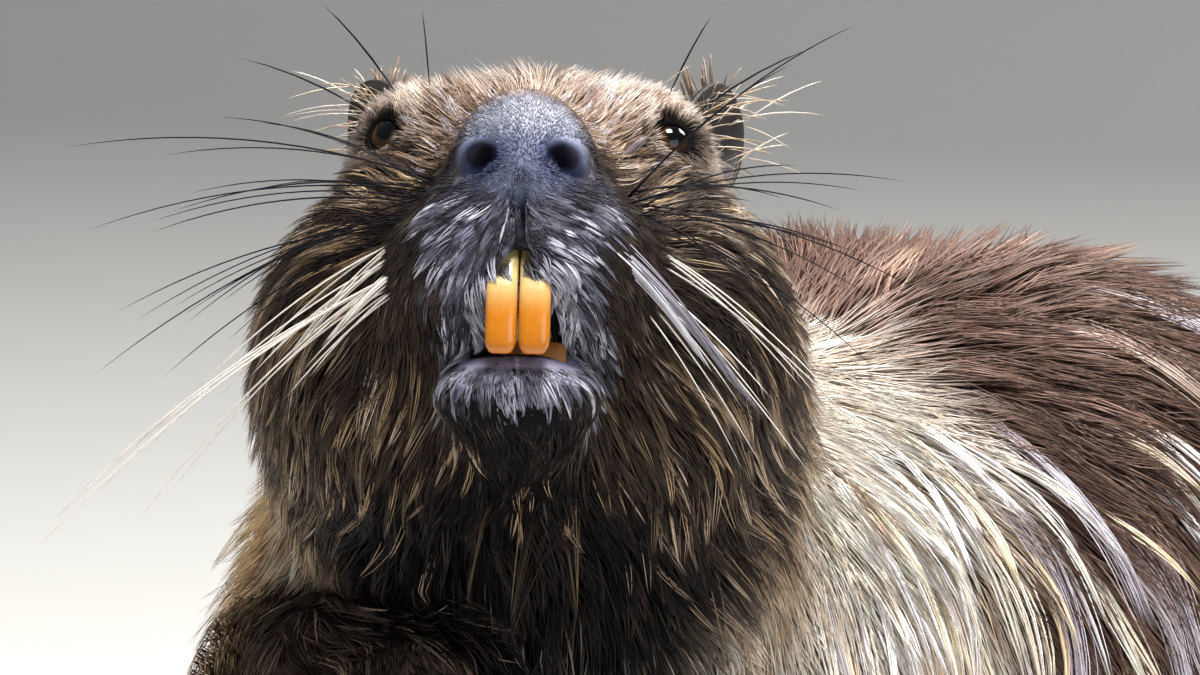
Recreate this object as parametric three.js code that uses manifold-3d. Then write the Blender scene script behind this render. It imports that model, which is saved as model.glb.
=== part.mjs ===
// A coypu, life size, crouched on its haunches with the head raised and turned to its left,
// the right forearm held up before the chest and the tail laid along the floor.
// Millimetres, +Z up. The animal faces -Y and its left side is +X; it stands on the plane Z = 0.

import * as THREE from "three";
import { mergeVertices } from "three/addons/utils/BufferGeometryUtils.js";
import Module from "manifold-3d";

const wasm = await Module();
wasm.setup();

// ---------------------------------------------------------------- driving dimensions

const partingGap = 0.5; // width of the thin cuts between the parts of the body
const fitGap = 0.35; // clearance of an eye, ear, tooth or claw to the flesh it sits in

const head = {
  nostrils: [50, -131, 178], // midpoint between the nostrils
  yaw: 23.8, // degrees turned to the animal's left
  pitch: 21, // degrees raised
  roll: 1, // degrees tipped to the left
  back: 105, // from the nostrils to the cut behind the ears
};
const eye = { radius: 5.4, apart: 25, behind: 55, above: 19.2 };
const eyeOpening = { looks: [0.64, -0.72, 0.27], radius: 8 };
const ear = { apart: 32.5, behind: 95, above: 33, height: 25, width: 19, thickness: 4.6, turn: 50 };
const nostril = { apart: 7.4, radius: 2.9, depth: 5.5 };
const incisor = { width: 6.2, depth: 5, bend: 25, bevel: 1.1 };
const upperIncisor = { root: -16, tip: -35.6, bendAt: -30, front: -0.5, chisel: 3.2, aside: 0 };
const lowerIncisor = { root: -41, tip: -32.5, bendAt: -40, front: 8.5, chisel: -3, aside: 0.8 };
const mouth = { width: 16, top: -19.4, bottom: -35.4, depth: 15 };
const trunk = { width: 172, top: 151, rumpBack: 266 };
const tail = { rootRadius: 20, radius: 15.5, tipRadius: 3.6, cuts: [0, 0.33, 0.67, 1] };
const forearm = { elbowRadius: 17, wristRadius: 9.5 };
const foreFoot = { palm: 27, halfWidth: 11.5, finger: 3.3, claw: 9 };
const hindFoot = { length: 138, halfWidth: 16, toe: 4.6, claw: 11, heel: [66, 236], splay: 7 };

// ---------------------------------------------------------------- placing

const point = (x, y, z) => new THREE.Vector3(x, y, z);
const degrees = THREE.MathUtils.degToRad;
const eulerOf = (turn, order = "XYZ") => new THREE.Euler(...turn.map(degrees), order);
const bothSides = (make) => [make(1), make(-1)];

function frameOf(origin, turn, order) {
  const spin = new THREE.Quaternion().setFromEuler(eulerOf(turn, order));
  return new THREE.Matrix4().compose(point(...origin), spin, point(1, 1, 1));
}

const headTurn = [-head.pitch, head.roll, head.yaw];
const headFrame = frameOf(head.nostrils, headTurn, "ZXY");
const inHead = (x, y, z) => point(x, y, z).applyMatrix4(headFrame);

const shoulder = { right: point(-33, -14, 82), left: point(45, -16, 66) };
const elbow = { right: point(-32, -62, 69), left: point(59, -10, 37) };
const wrist = { right: point(12, -96, 76), left: point(50, -62, 12) };

// ---------------------------------------------------------------- flesh as blended lumps

// An ellipsoid whose distance is close to true near its surface.
function ellipsoid(centre, radii, { blend = 16, frame = new THREE.Matrix4(), turn = [0, 0, 0] } = {}) {
  const inverse = frame.clone().multiply(frameOf(centre, turn)).invert();
  const [a, b, c] = radii;
  const q = new THREE.Vector3();
  const distance = (p) => {
    q.copy(p).applyMatrix4(inverse);
    const near = Math.hypot(q.x / a, q.y / b, q.z / c);
    const slope = Math.hypot(q.x / (a * a), q.y / (b * b), q.z / (c * c));
    return slope < 1e-9 ? -Math.min(a, b, c) : (near * (near - 1)) / slope;
  };
  return { distance, blend };
}

// A bone with its flesh: a rod between two points whose radius runs from one to the other.
function bone(from, to, fromRadius, toRadius, blend = 16) {
  const along = to.clone().sub(from);
  const q = new THREE.Vector3();
  const distance = (p) => {
    q.copy(p).sub(from);
    const share = THREE.MathUtils.clamp(q.dot(along) / along.lengthSq(), 0, 1);
    return q.addScaledVector(along, -share).length() - THREE.MathUtils.lerp(fromRadius, toRadius, share);
  };
  return { distance, blend };
}

const headLump = (centre, radii, blend = 10) => ellipsoid(centre, radii, { blend, frame: headFrame });

const headLumps = [
  headLump([0, 84, 9], [38, 37, 33]), // cranium
  bone(inHead(0, 12, 2), inHead(0, 66, 7), 13, 25, 10), // bridge of the nose up to the forehead
  headLump([0, 28, -14], [22, 30, 21]), // muzzle
  headLump([0, 9.5, 2], [14, 11.5, 13.8], 7), // nose
  ...bothSides((side) => headLump([side * 12, 16, -17], [12, 15, 13], 8)), // whisker pads
  ...bothSides((side) => headLump([side * 19.5, 61, 20.5], [12, 15, 11], 9)), // brows
  ...bothSides((side) => headLump([side * 27, 64, -21], [26, 42, 33], 17)), // cheeks
  bone(inHead(0, 27, -41), inHead(0, 72, -30), 13, 33, 12), // lower jaw
  headLump([0, 14, -42.3], [15.5, 10, 8.3], 5), // lower lip
  headLump([0, 92, -27], [49, 38, 36], 14), // jowls
];

const neckLumps = [
  bone(inHead(0, 96, -15), point(2, -8, 84), 45, 58, 20),
  ellipsoid([30, -62, 100], [38, 30, 34], { blend: 20 }), // throat
];

const trunkLumps = [
  ellipsoid([4, -28, 74], [62, 54, 64], { blend: 22 }), // breast
  ellipsoid([0, 34, 76], [74, 84, trunk.top - 89], { blend: 22 }), // ribs
  ellipsoid([0, 100, 72], [trunk.width / 2, 95, 65], { blend: 22 }), // belly
  // the arched loins
  ...bothSides((side) => ellipsoid([side * 24, 153, 81], [62, 96, trunk.top - 83], { blend: 18 })),
  ellipsoid([0, 208, 64], [70, 60, 57], { blend: 22 }), // rump
  ellipsoid([-31, -6, 72], [28, 42, 50]), // right shoulder
  ellipsoid([48, -12, 70], [30, 42, 50]), // left shoulder
  bone(shoulder.right, elbow.right, 25, 18), // right upper arm
  bone(shoulder.left, elbow.left, 27, 19), // left upper arm
  ...bothSides((side) => ellipsoid([side * 63, 172, 60], [34, 60, 52], { turn: [12, 0, 0] })), // thighs
  ...bothSides((side) => bone(point(side * 74, 118, 42), point(side * 66, 226, 22), 22, 13)), // shanks
  bone(point(0, 225, 50), point(4, 276, 27), 30, tail.radius + 1, 18), // root of the tail
];

const bodyLumps = [...trunkLumps, ...neckLumps, ...headLumps];

function smoothUnion(a, b, width) {
  const overlap = Math.max(width - Math.abs(a - b), 0) / width;
  return Math.min(a, b) - (overlap * overlap * width) / 4;
}

const bodyField = (p) => bodyLumps.reduce((d, lump) => smoothUnion(d, lump.distance(p), lump.blend), 1e3);
const headField = (p) => bodyField(p.clone().applyMatrix4(headFrame));
const grown = (field, by) => (p) => field(p) - by;

// ---------------------------------------------------------------- surface of a field

// Positions from the first stop to the last. Each stop is a place and the spacing wanted there.
function ticks(...stops) {
  const made = [stops[0][0]];
  while (made.at(-1) < stops.at(-1)[0]) {
    const here = made.at(-1);
    const n = stops.findIndex(([place]) => place > here);
    const [[from, wide], [to, next]] = [stops[n - 1], stops[n]];
    made.push(here + THREE.MathUtils.mapLinear(here, from, to, wide, next));
  }
  return made;
}

// Moves a point onto the field's surface along the field's slope.
function settle(field, p) {
  const h = 0.05;
  for (let pass = 0; pass < 3; pass++) {
    const d = field(p);
    const slope = point(
      field(point(p.x + h, p.y, p.z)) - d,
      field(point(p.x, p.y + h, p.z)) - d,
      field(point(p.x, p.y, p.z + h)) - d,
    ).divideScalar(h);
    p.addScaledVector(slope, -d / Math.max(slope.lengthSq(), 0.3));
  }
}

// Wraps the part of the field inside the grid in one closed net: a vertex for each cell that the
// surface passes through, and a four-sided face round each grid edge that it crosses.
function surfaceOf(field, [xs, ys, zs]) {
  const counts = [xs.length, ys.length, zs.length];
  const at = (i, j, k) => (k * counts[1] + j) * counts[0] + i;
  const onRim = (node) => node.some((n, axis) => n === 0 || n === counts[axis] - 1);
  const nodePoint = ([i, j, k]) => point(xs[i], ys[j], zs[k]);
  const values = new Float64Array(counts[0] * counts[1] * counts[2]);
  const nodes = zs.flatMap((_, k) => ys.flatMap((_, j) => xs.map((_, i) => [i, j, k])));
  for (const node of nodes) {
    const d = field(nodePoint(node));
    values[at(...node)] = onRim(node) ? Math.max(d, 0.5) : d;
  }

  const corners = [0, 1, 2, 3, 4, 5, 6, 7].map((n) => [n & 1, (n >> 1) & 1, n >> 2]);
  const edgesFrom = (a) => [1, 2, 4].filter((bit) => !(a & bit)).map((bit) => [a, a | bit]);
  const cellEdges = corners.flatMap((_, a) => edgesFrom(a));
  const vertices = [];
  const vertexOfCell = new Map();
  for (const node of nodes.filter((each) => each.every((n, axis) => n < counts[axis] - 1))) {
    const around = corners.map((corner) => corner.map((step, axis) => node[axis] + step));
    const d = around.map((corner) => values[at(...corner)]);
    const crossed = cellEdges.filter(([a, b]) => d[a] < 0 !== d[b] < 0);
    if (!crossed.length) continue;
    const middle = new THREE.Vector3();
    for (const [a, b] of crossed) {
      middle.add(nodePoint(around[a]).lerp(nodePoint(around[b]), d[a] / (d[a] - d[b])));
    }
    middle.divideScalar(crossed.length);
    if (!around.some(onRim)) settle(field, middle);
    vertexOfCell.set(at(...node), vertices.length);
    vertices.push(middle);
  }

  const index = [];
  for (const node of nodes) {
    for (let axis = 0; axis < 3; axis++) {
      const [u, v] = [(axis + 1) % 3, (axis + 2) % 3];
      if (node[axis] === counts[axis] - 1 || node[u] === 0 || node[v] === 0) continue;
      const inside = values[at(...node)] < 0;
      if (inside === values[at(...node.with(axis, node[axis] + 1))] < 0) continue;
      const cell = (du, dv) => vertexOfCell.get(at(...node.with(u, node[u] - du).with(v, node[v] - dv)));
      const ring = [cell(1, 1), cell(0, 1), cell(0, 0), cell(1, 0)];
      const [a, b, c, d] = inside ? ring : ring.reverse();
      const shortAcross = vertices[a].distanceTo(vertices[c]) < vertices[b].distanceTo(vertices[d]);
      index.push(...(shortAcross ? [a, b, c, a, c, d] : [a, b, d, b, c, d]));
    }
  }
  return geometryFrom(vertices.flatMap((v) => v.toArray()), index);
}

// ---------------------------------------------------------------- solids that are cut and joined

function geometryFrom(positions, index) {
  const geometry = new THREE.BufferGeometry();
  geometry.setAttribute("position", new THREE.Float32BufferAttribute(positions, 3));
  return geometry.setIndex(index);
}

function solidOf(geometry) {
  const bare = new THREE.BufferGeometry().setAttribute("position", geometry.getAttribute("position"));
  const merged = mergeVertices(bare.setIndex(geometry.index), 1e-4);
  const vertProperties = merged.attributes.position.array;
  const triVerts = new Uint32Array(merged.index.array);
  return new wasm.Manifold(new wasm.Mesh({ numProp: 3, vertProperties, triVerts }));
}

function geometryOf(solid) {
  const { numProp, vertProperties, triVerts } = solid.getMesh();
  const positions = [];
  for (let i = 0; i < vertProperties.length; i += numProp) {
    positions.push(...vertProperties.subarray(i, i + 3));
  }
  return geometryFrom(positions, Array.from(triVerts));
}

const join = (solids) => solids.reduce((all, next) => all.add(next));
const cut = (solid, ...tools) => tools.reduce((left, tool) => left.subtract(tool), solid);
const largest = (solid) => solid.decompose().reduce((a, b) => (a.volume() > b.volume() ? a : b));
const moved = (solid, frame) => solidOf(geometryOf(solid).applyMatrix4(frame));

// A cutting plane: a point on it and the side that its normal looks to, which is the front.
const plane = (origin, normal) => ({ origin, normal: normal.clone().normalize() });

function behind({ origin, normal }, gap = partingGap / 2) {
  const size = 1500;
  const turn = new THREE.Quaternion().setFromUnitVectors(point(0, 0, 1), normal);
  const block = new THREE.BoxGeometry(size, size, size).translate(0, 0, -size / 2).applyQuaternion(turn);
  return solidOf(block.translate(...origin.clone().addScaledVector(normal, gap)));
}

const flipped = ({ origin, normal }) => ({ origin, normal: normal.clone().negate() });
const frontOf = (solid, ...planes) => cut(solid, ...planes.map((each) => behind(each)));
const backOf = (solid, ...planes) => frontOf(solid, ...planes.map(flipped));
const floor = plane(point(0, 0, 0), point(0, 0, 1));
const aboveFloor = (solid) => cut(solid, behind(floor, 0));

function ball(centre, radii, turn = [0, 0, 0], rows = 8) {
  const sphere = new THREE.SphereGeometry(1, rows * 2, rows).scale(...radii);
  return solidOf(sphere.applyMatrix4(frameOf(centre, turn)));
}

// A closed tube along a curve. Its half-width and the share of that which is its half-height follow
// the share of the way along.
function tube(curve, halfWidthAt, { steps = 6, sides = 8, flatAt = () => 1, from = 0, to = 1 } = {}) {
  const positions = [];
  const index = [];
  for (let step = 0; step <= steps; step++) {
    const share = THREE.MathUtils.lerp(from, to, step / steps);
    const centre = curve.getPointAt(share);
    const ahead = curve.getTangentAt(share);
    const side = ahead.clone().cross(point(0, 0, 1)).normalize();
    const top = side.clone().cross(ahead).normalize();
    const half = halfWidthAt(share);
    for (let n = 0; n < sides; n++) {
      const angle = (2 * Math.PI * (n + 0.5)) / sides;
      const out = side.clone().multiplyScalar(half * Math.cos(angle));
      out.addScaledVector(top, half * flatAt(share) * Math.sin(angle));
      positions.push(...out.add(centre));
    }
  }
  for (let step = 0; step < steps; step++) {
    for (let n = 0; n < sides; n++) {
      const a = step * sides + n;
      const b = step * sides + ((n + 1) % sides);
      index.push(a, a + sides, b, b, a + sides, b + sides);
    }
  }
  for (let n = 1; n < sides - 1; n++) {
    const last = steps * sides;
    index.push(0, n, n + 1, last, last + n + 1, last + n);
  }
  return solidOf(geometryFrom(positions, index));
}

const curveThrough = (...points) => new THREE.CatmullRomCurve3(points, false, "centripetal");
const between = (from, to) => (share) => THREE.MathUtils.lerp(from, to, share);

// Half-width of a finger-shaped form: it tapers along its length and is rounded off at both ends.
const rounded = (from, to) => (share) => between(from, to)(share) * Math.sqrt(1.06 - (2 * share - 1) ** 8);

// ---------------------------------------------------------------- materials

const material = (color, roughness) => new THREE.MeshStandardMaterial({ color, roughness, metalness: 0 });
const fur = material("#6a4f3a", 0.6);
const bareSkin = material("#3a302c", 0.45);
const scaledSkin = material("#4a3c33", 0.55);
const eyeSurface = material("#160d08", 0.05);
const enamel = material("#f08c14", 0.25);
const brownEnamel = material("#8a4a14", 0.35);
const horn = material("#2c211b", 0.35);

const animal = new THREE.Group();

function addTo(group, name, solid, surface) {
  const mesh = new THREE.Mesh(geometryOf(largest(solid)), surface);
  mesh.name = name;
  group.add(mesh);
}

function groupAt(origin, turn, order) {
  const group = new THREE.Group();
  group.position.set(...origin);
  group.rotation.copy(eulerOf(turn, order));
  animal.add(group);
  return group;
}

// ---------------------------------------------------------------- head

const headBack = plane(inHead(0, head.back, 0), inHead(0, -1, 0).sub(inHead(0, 0, 0)));
const neckBase = plane(point(8, -8, 145), point(0.22, -0.7, 0.68));
const headGrid = [
  ticks([-66, 16], [-32, 9], [-16, 6.4], [16, 6.4], [32, 9], [72, 16]),
  ticks([-16, 4.8], [14, 5.6], [60, 12], [head.back + 18, 18]),
  ticks([-98, 17], [-52, 5.7], [-10, 6.6], [60, 9.5]),
];
const intoHead = headFrame.clone().invert();

// The opening between the lips: narrow under the nose and wide above the lower lip.
function mouthOpening() {
  const half = mouth.width / 2;
  const shoulderHeight = mouth.top - 5;
  const outline = new THREE.Shape();
  outline.moveTo(-half, mouth.bottom);
  outline.lineTo(half, mouth.bottom);
  outline.quadraticCurveTo(half * 0.9, shoulderHeight, 1.6, mouth.top);
  outline.lineTo(-1.6, mouth.top);
  outline.quadraticCurveTo(-half * 0.9, shoulderHeight, -half, mouth.bottom);
  const block = new THREE.ExtrudeGeometry(outline, {
    depth: mouth.depth + 20,
    bevelEnabled: false,
    curveSegments: 4,
  });
  return solidOf(block.rotateX(Math.PI / 2).translate(0, mouth.depth, 0));
}

function nostrilPit(side) {
  const { apart, radius, depth } = nostril;
  return ball([side * apart, -1, 1], [radius, depth, radius * 1.15], [0, 0, side * 28], 6);
}

function eyeball(side, grow = 0) {
  const radius = eye.radius + grow;
  return ball([side * eye.apart, eye.behind, eye.above], [radius, radius, radius], [0, 0, 0], 6);
}

// The hollow between the lids, which opens the way that the eye looks.
function lidHollow(side) {
  const { looks, radius } = eyeOpening;
  const centre = point(eye.apart, eye.behind, eye.above).addScaledVector(point(...looks), radius);
  return ball([side * centre.x, centre.y, centre.z], [radius, radius, radius], [0, 0, 0], 6);
}

// An incisor seen from the side is a band between two arcs, ground to a chisel at its tip.
function makeIncisor(side, jaw, grow = 0) {
  const { width, depth, bend, bevel } = incisor;
  const frontAt = (z) => bend - Math.sqrt(bend * bend - (z - jaw.bendAt) ** 2);
  const sink = grow * Math.sign(jaw.root - jaw.tip);
  const steps = 5;
  const profile = new THREE.Shape();
  for (let n = 0; n <= steps; n++) {
    const z = THREE.MathUtils.lerp(jaw.root + sink, jaw.tip - sink, n / steps);
    profile[n ? "lineTo" : "moveTo"](frontAt(z) - grow, z);
  }
  for (let n = steps; n >= 0; n--) {
    const z = THREE.MathUtils.lerp(jaw.root + sink, jaw.tip - sink + jaw.chisel, n / steps);
    profile.lineTo(frontAt(z) + depth - 2 * bevel + grow, z);
  }
  const straight = width - 2 * bevel - fitGap + 2 * grow;
  const block = new THREE.ExtrudeGeometry(profile, {
    depth: straight,
    bevelSize: bevel,
    bevelThickness: bevel,
    bevelSegments: 1,
  });
  block.rotateX(Math.PI / 2).rotateZ(Math.PI / 2);
  return solidOf(block.translate((side * width) / 2 - straight / 2 + jaw.aside, jaw.front + bevel, 0));
}

// A round ear, cupped in front, with its foot trimmed where it meets the head.
function makeEar(side, grownHead) {
  const { apart, behind: back, above, width, height, thickness } = ear;
  const turn = [8, side * 10, side * ear.turn];
  const shell = ball([side * apart, back, above], [width / 2, thickness / 2, height / 2], turn, 6);
  const cupCentre = point(0, -thickness * 0.78, 1).applyEuler(eulerOf(turn));
  cupCentre.add(point(side * apart, back, above));
  const cup = ball(cupCentre, [width * 0.4, thickness * 0.78, height * 0.41], turn, 5);
  return cut(shell, cup, grownHead);
}

function addHead() {
  const group = groupAt(head.nostrils, headTurn, "ZXY");
  const behindHead = moved(behind(headBack), intoHead);
  const underThroat = moved(behind(neckBase), intoHead);
  const flesh = cut(solidOf(surfaceOf(headField, headGrid)), behindHead, underThroat);
  const grownHead = solidOf(surfaceOf(grown(headField, fitGap + 0.1), headGrid));
  const socketsOf = (jaw) => bothSides((side) => makeIncisor(side, jaw, fitGap));
  const teeth = [upperIncisor, lowerIncisor].flatMap(socketsOf);
  const sockets = bothSides((side) => eyeball(side, fitGap).add(lidHollow(side)));
  const hollows = [mouthOpening(), ...bothSides(nostrilPit), ...teeth, ...sockets];
  addTo(group, "head", cut(flesh, ...hollows), fur);
  for (const [side, name] of [[1, "left"], [-1, "right"]]) {
    addTo(group, `eye_${name}`, eyeball(side), eyeSurface);
    addTo(group, `ear_${name}`, makeEar(side, grownHead), bareSkin);
    addTo(group, `upper_incisor_${name}`, makeIncisor(side, upperIncisor), enamel);
    addTo(group, `lower_incisor_${name}`, makeIncisor(side, lowerIncisor), brownEnamel);
  }
}

// ---------------------------------------------------------------- feet and their claws

// A claw leaves the end of its toe straight on and bends down to its point.
function makeClaw(toe, length) {
  const ahead = toe.getTangentAt(1);
  const along = (reach, rise) => toe.getPointAt(1).addScaledVector(ahead, reach).add(point(0, 0, rise));
  const middle = along(length * 0.5, length * 0.04);
  const curve = curveThrough(along(fitGap, 0), middle, along(length, -length * 0.1));
  return tube(curve, between(length * 0.19, 0.35), { steps: 2, sides: 5, flatAt: () => 1.15 });
}

// Flesh and claws of a foot, in the foot's own frame: toes point along -Y and the sole faces -Z.
// Each toe has a root, a direction in degrees outwards, a length, a half-width and a claw length.
function makeFoot(side, toes, pad, { curl = 0, grow = 0 } = {}) {
  const curves = toes.map(({ root: [x, y, z], out, length, half, tipZ }) => {
    const turn = degrees(out);
    const along = (share, height) =>
      point(side * (x + Math.sin(turn) * length * share), y - Math.cos(turn) * length * share, height);
    const knuckle = along(0.55, half * 0.6 - curl * 0.3);
    return curveThrough(along(0, z), knuckle, along(1 - curl * 0.02, tipZ - curl));
  });
  const digits = curves.map((curve, n) =>
    tube(curve, between(toes[n].half + grow, toes[n].half * 0.6 + grow), { steps: 2, sides: 6 }),
  );
  const claws = curves.map((curve, n) => makeClaw(curve, toes[n].claw));
  return { flesh: join([...pad, ...digits]), claws };
}

function makeHindFoot(side, grow = 0) {
  const { length, halfWidth, toe } = hindFoot;
  const ball = -length * 0.54;
  const lengths = [30, 44, 52, 53, 38];
  const toes = lengths.map((reach, n) => ({
    root: [-10.5 + n * 5.4, ball + 6 + Math.abs(n - 2) * 2.5, 5.5],
    out: -13 + n * 7.5,
    length: reach + 12,
    half: toe - Math.abs(n - 2.4) * 0.25,
    tipZ: 3.1,
    claw: hindFoot.claw - (n === 0 ? 2 : 0),
  }));
  const sole = curveThrough(point(0, 9, 8.6), point(0, ball * 0.5, 7), point(0, ball - 2, 5));
  const shape = { steps: 4, sides: 8, flatAt: between(0.95, 0.5) };
  const pads = [tube(sole, rounded(10 + grow, halfWidth + grow), shape)];
  return makeFoot(side, toes, [...pads, makeWeb(side, toes.slice(0, 4), grow)], { grow });
}

// The web is a thin sheet that joins the first four toes to near their ends.
function makeWeb(side, toes, grow) {
  const onToe = ({ root: [x, y], out, length }, share) => {
    const turn = degrees(out);
    return [side * (x + Math.sin(turn) * length * share), y - Math.cos(turn) * length * share];
  };
  const outline = new THREE.Shape();
  outline.moveTo(...onToe(toes[0], 0));
  toes.forEach((toe, n) => {
    outline.lineTo(...onToe(toe, 0.86));
    if (n === toes.length - 1) return;
    const [a, b] = [onToe(toe, 0.66), onToe(toes[n + 1], 0.66)];
    outline.lineTo((a[0] + b[0]) / 2, (a[1] + b[1]) / 2);
  });
  outline.lineTo(...onToe(toes.at(-1), 0));
  const thickness = 1.8 + 2 * grow;
  const sheet = new THREE.ExtrudeGeometry(outline, { depth: thickness, bevelEnabled: false });
  return solidOf(sheet.translate(0, 0, 3 - thickness / 2));
}

function makeForeFoot(side, { curl = 0, grow = 0 } = {}) {
  const { palm, halfWidth, finger } = foreFoot;
  const fingers = [17, 21, 22, 18].map((reach, n) => ({
    root: [-7.2 + n * 4.8, -palm * 0.82 + Math.abs(n - 1.5) * 1.4, 4.6],
    out: -11 + n * 8,
    length: reach + 4,
    half: finger,
    tipZ: 2.5,
    claw: foreFoot.claw,
  }));
  const thumb = { root: [-6.5, -palm * 0.5, 4.8], out: -38, length: 9, half: 2.8, tipZ: 2, claw: 4.5 };
  const hand = curveThrough(point(0, 6, 10), point(0, -palm * 0.4, 7.2), point(0, -palm, 4.4));
  const shape = { steps: 3, sides: 8, flatAt: between(0.95, 0.48) };
  const pad = [tube(hand, rounded(8.2 + grow, halfWidth + grow), shape)];
  return makeFoot(side, [thumb, ...fingers], pad, { curl, grow });
}

const sideNames = [[1, "left"], [-1, "right"]];

function addFoot(frame, name, { flesh, claws }, tools) {
  const [origin, turn] = frame;
  const group = groupAt(origin, turn, "ZXY");
  const inverse = frameOf(origin, turn, "ZXY").invert();
  const trimmed = cut(flesh, ...tools.map((tool) => moved(tool, inverse)));
  addTo(group, name, trimmed, bareSkin);
  claws.forEach((each, n) => addTo(group, `${name}_claw_${n + 1}`, each, horn));
}

// ---------------------------------------------------------------- trunk, neck and limbs

const bodyGrid = [
  ticks([-115, 23], [115, 23]),
  ticks([-126, 20], [0, 24], [180, 26], [314, 20]),
  ticks([-14, 18], [190, 23]),
];
// The part of the body round the forelegs, where they are fitted to it.
const breastGrid = [ticks([-100, 12], [104, 12]), ticks([-128, 12], [40, 12]), ticks([-6, 12], [140, 12])];
const neckGrid = [ticks([-90, 16], [98, 16]), ticks([-110, 16], [66, 16]), ticks([30, 16], [205, 16])];
const tailRoot = plane(point(1, trunk.rumpBack, 33), point(-0.05, -1, 0.4));

const haunchKnife = (side, grow = 0) =>
  ball([side * 80, 176, 50], [50 + grow, 80 + grow, 64 + grow], [10, 0, side * -4], 7);
const upperArmKnife = {
  left: (grow = 0) => ball([66, -10, 52], [34 + grow, 38 + grow, 46 + grow], [0, 0, 0], 6),
  right: (grow = 0) => ball([-50, -44, 82], [34 + grow, 40 + grow, 34 + grow], [0, 0, -12], 6),
};

function forearmTube(name, grow = 0) {
  const curve =
    name === "left"
      ? curveThrough(elbow.left, point(57, -36, 26), wrist.left)
      : curveThrough(elbow.right, point(-13, -84, 77), wrist.right);
  const { elbowRadius, wristRadius } = forearm;
  return tube(curve, between(elbowRadius + grow, wristRadius + grow), { steps: 4, sides: 8 });
}

// The origin of a raised hand's frame puts the palm's root at the wrist.
const raisedHand = [50, 0, 52];
const handDrop = point(0, -2, 10).applyEuler(eulerOf(raisedHand, "ZXY"));

const footFrames = {
  foreleft: [[wrist.left.x, wrist.left.y - 2, 0], [0, 0, -4]],
  foreright: [wrist.right.clone().sub(handDrop).toArray(), raisedHand],
  hindleft: [[hindFoot.heel[0], hindFoot.heel[1], 0], [0, 0, hindFoot.splay]],
  hindright: [[-hindFoot.heel[0], hindFoot.heel[1], 0], [0, 0, -hindFoot.splay]],
};
const frameMatrix = (key) => frameOf(...footFrames[key], "ZXY");

function addBody() {
  const whole = solidOf(surfaceOf(bodyField, bodyGrid));
  const grownBreast = solidOf(surfaceOf(grown(bodyField, partingGap * 3), breastGrid));
  const neckFlesh = solidOf(surfaceOf(bodyField, neckGrid));
  addTo(animal, "neck", frontOf(backOf(neckFlesh, headBack), neckBase), fur);

  const hindFeet = { 1: makeHindFoot(1), [-1]: makeHindFoot(-1) };
  const grownFeet = bothSides((side) =>
    moved(makeHindFoot(side, partingGap).flesh, frameMatrix(side > 0 ? "hindleft" : "hindright")),
  );
  const rest = cut(backOf(whole, neckBase), ...grownFeet);
  const torso = frontOf(rest, tailRoot);
  const knives = [
    ...bothSides((side) => haunchKnife(side, partingGap)),
    upperArmKnife.left(partingGap),
    upperArmKnife.right(partingGap),
  ];
  addTo(animal, "trunk", cut(torso, ...knives), fur);
  for (const [side, name] of sideNames) {
    addTo(animal, `haunch_${name}`, torso.intersect(haunchKnife(side)), fur);
    addTo(animal, `upper_arm_${name}`, torso.intersect(upperArmKnife[name]()), fur);
    addTo(animal, `forearm_${name}`, cut(forearmTube(name), grownBreast), fur);
    const hand = makeForeFoot(side, { curl: name === "right" ? 7 : 0 });
    if (name === "left") hand.flesh = aboveFloor(hand.flesh);
    const arm = [grownBreast, forearmTube(name, partingGap)];
    addFoot(footFrames[`fore${name}`], `forefoot_${name}`, hand, arm);
    hindFeet[side].flesh = aboveFloor(hindFeet[side].flesh);
    addFoot(footFrames[`hind${name}`], `hindfoot_${name}`, hindFeet[side], []);
  }
}

// ---------------------------------------------------------------- tail

// A round tail that comes down from the rump and lies along the floor, bent to the animal's left.
function addTail() {
  const { rootRadius, radius, tipRadius, cuts } = tail;
  const swell = (share) => (rootRadius - radius) * Math.max(0, 1 - share / 0.1) ** 2;
  const radiusAt = (share) => THREE.MathUtils.lerp(radius, tipRadius, share) + swell(share);
  const lying = (x, y, share) => point(x, y, radiusAt(share) * 0.9);
  const curve = curveThrough(
    point(1, trunk.rumpBack, 33),
    point(3, 282, 22),
    lying(9, 306, 0.11),
    lying(34, 380, 0.31),
    lying(70, 450, 0.52),
    lying(104, 520, 0.73),
    lying(122, 570, 0.88),
    lying(125, 612, 1),
  );
  const spare = partingGap / 2 / curve.getLength();
  cuts.slice(1).forEach((to, n) => {
    const [from, end] = [cuts[n] + spare, to === 1 ? 1 : to - spare];
    const length = tube(curve, radiusAt, { from, to: end, steps: n ? 4 : 7, sides: 8 });
    addTo(animal, `tail_${n + 1}`, aboveFloor(n ? length : backOf(length, tailRoot)), scaledSkin);
  });
}

// ---------------------------------------------------------------- exported model

addHead();
addBody();
addTail();

// The part's origin is under the middle of its outer box, on the floor.
const bounds = new THREE.Box3().setFromObject(animal, true);
const middle = bounds.getCenter(new THREE.Vector3());
animal.position.set(-middle.x, -middle.y, -bounds.min.z);

const coypu = new THREE.Group();
coypu.add(animal);

export default coypu;
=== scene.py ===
# A life-size nutria (coypu): skin, eyes, teeth, claws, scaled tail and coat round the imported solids.
import math
import time

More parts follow.
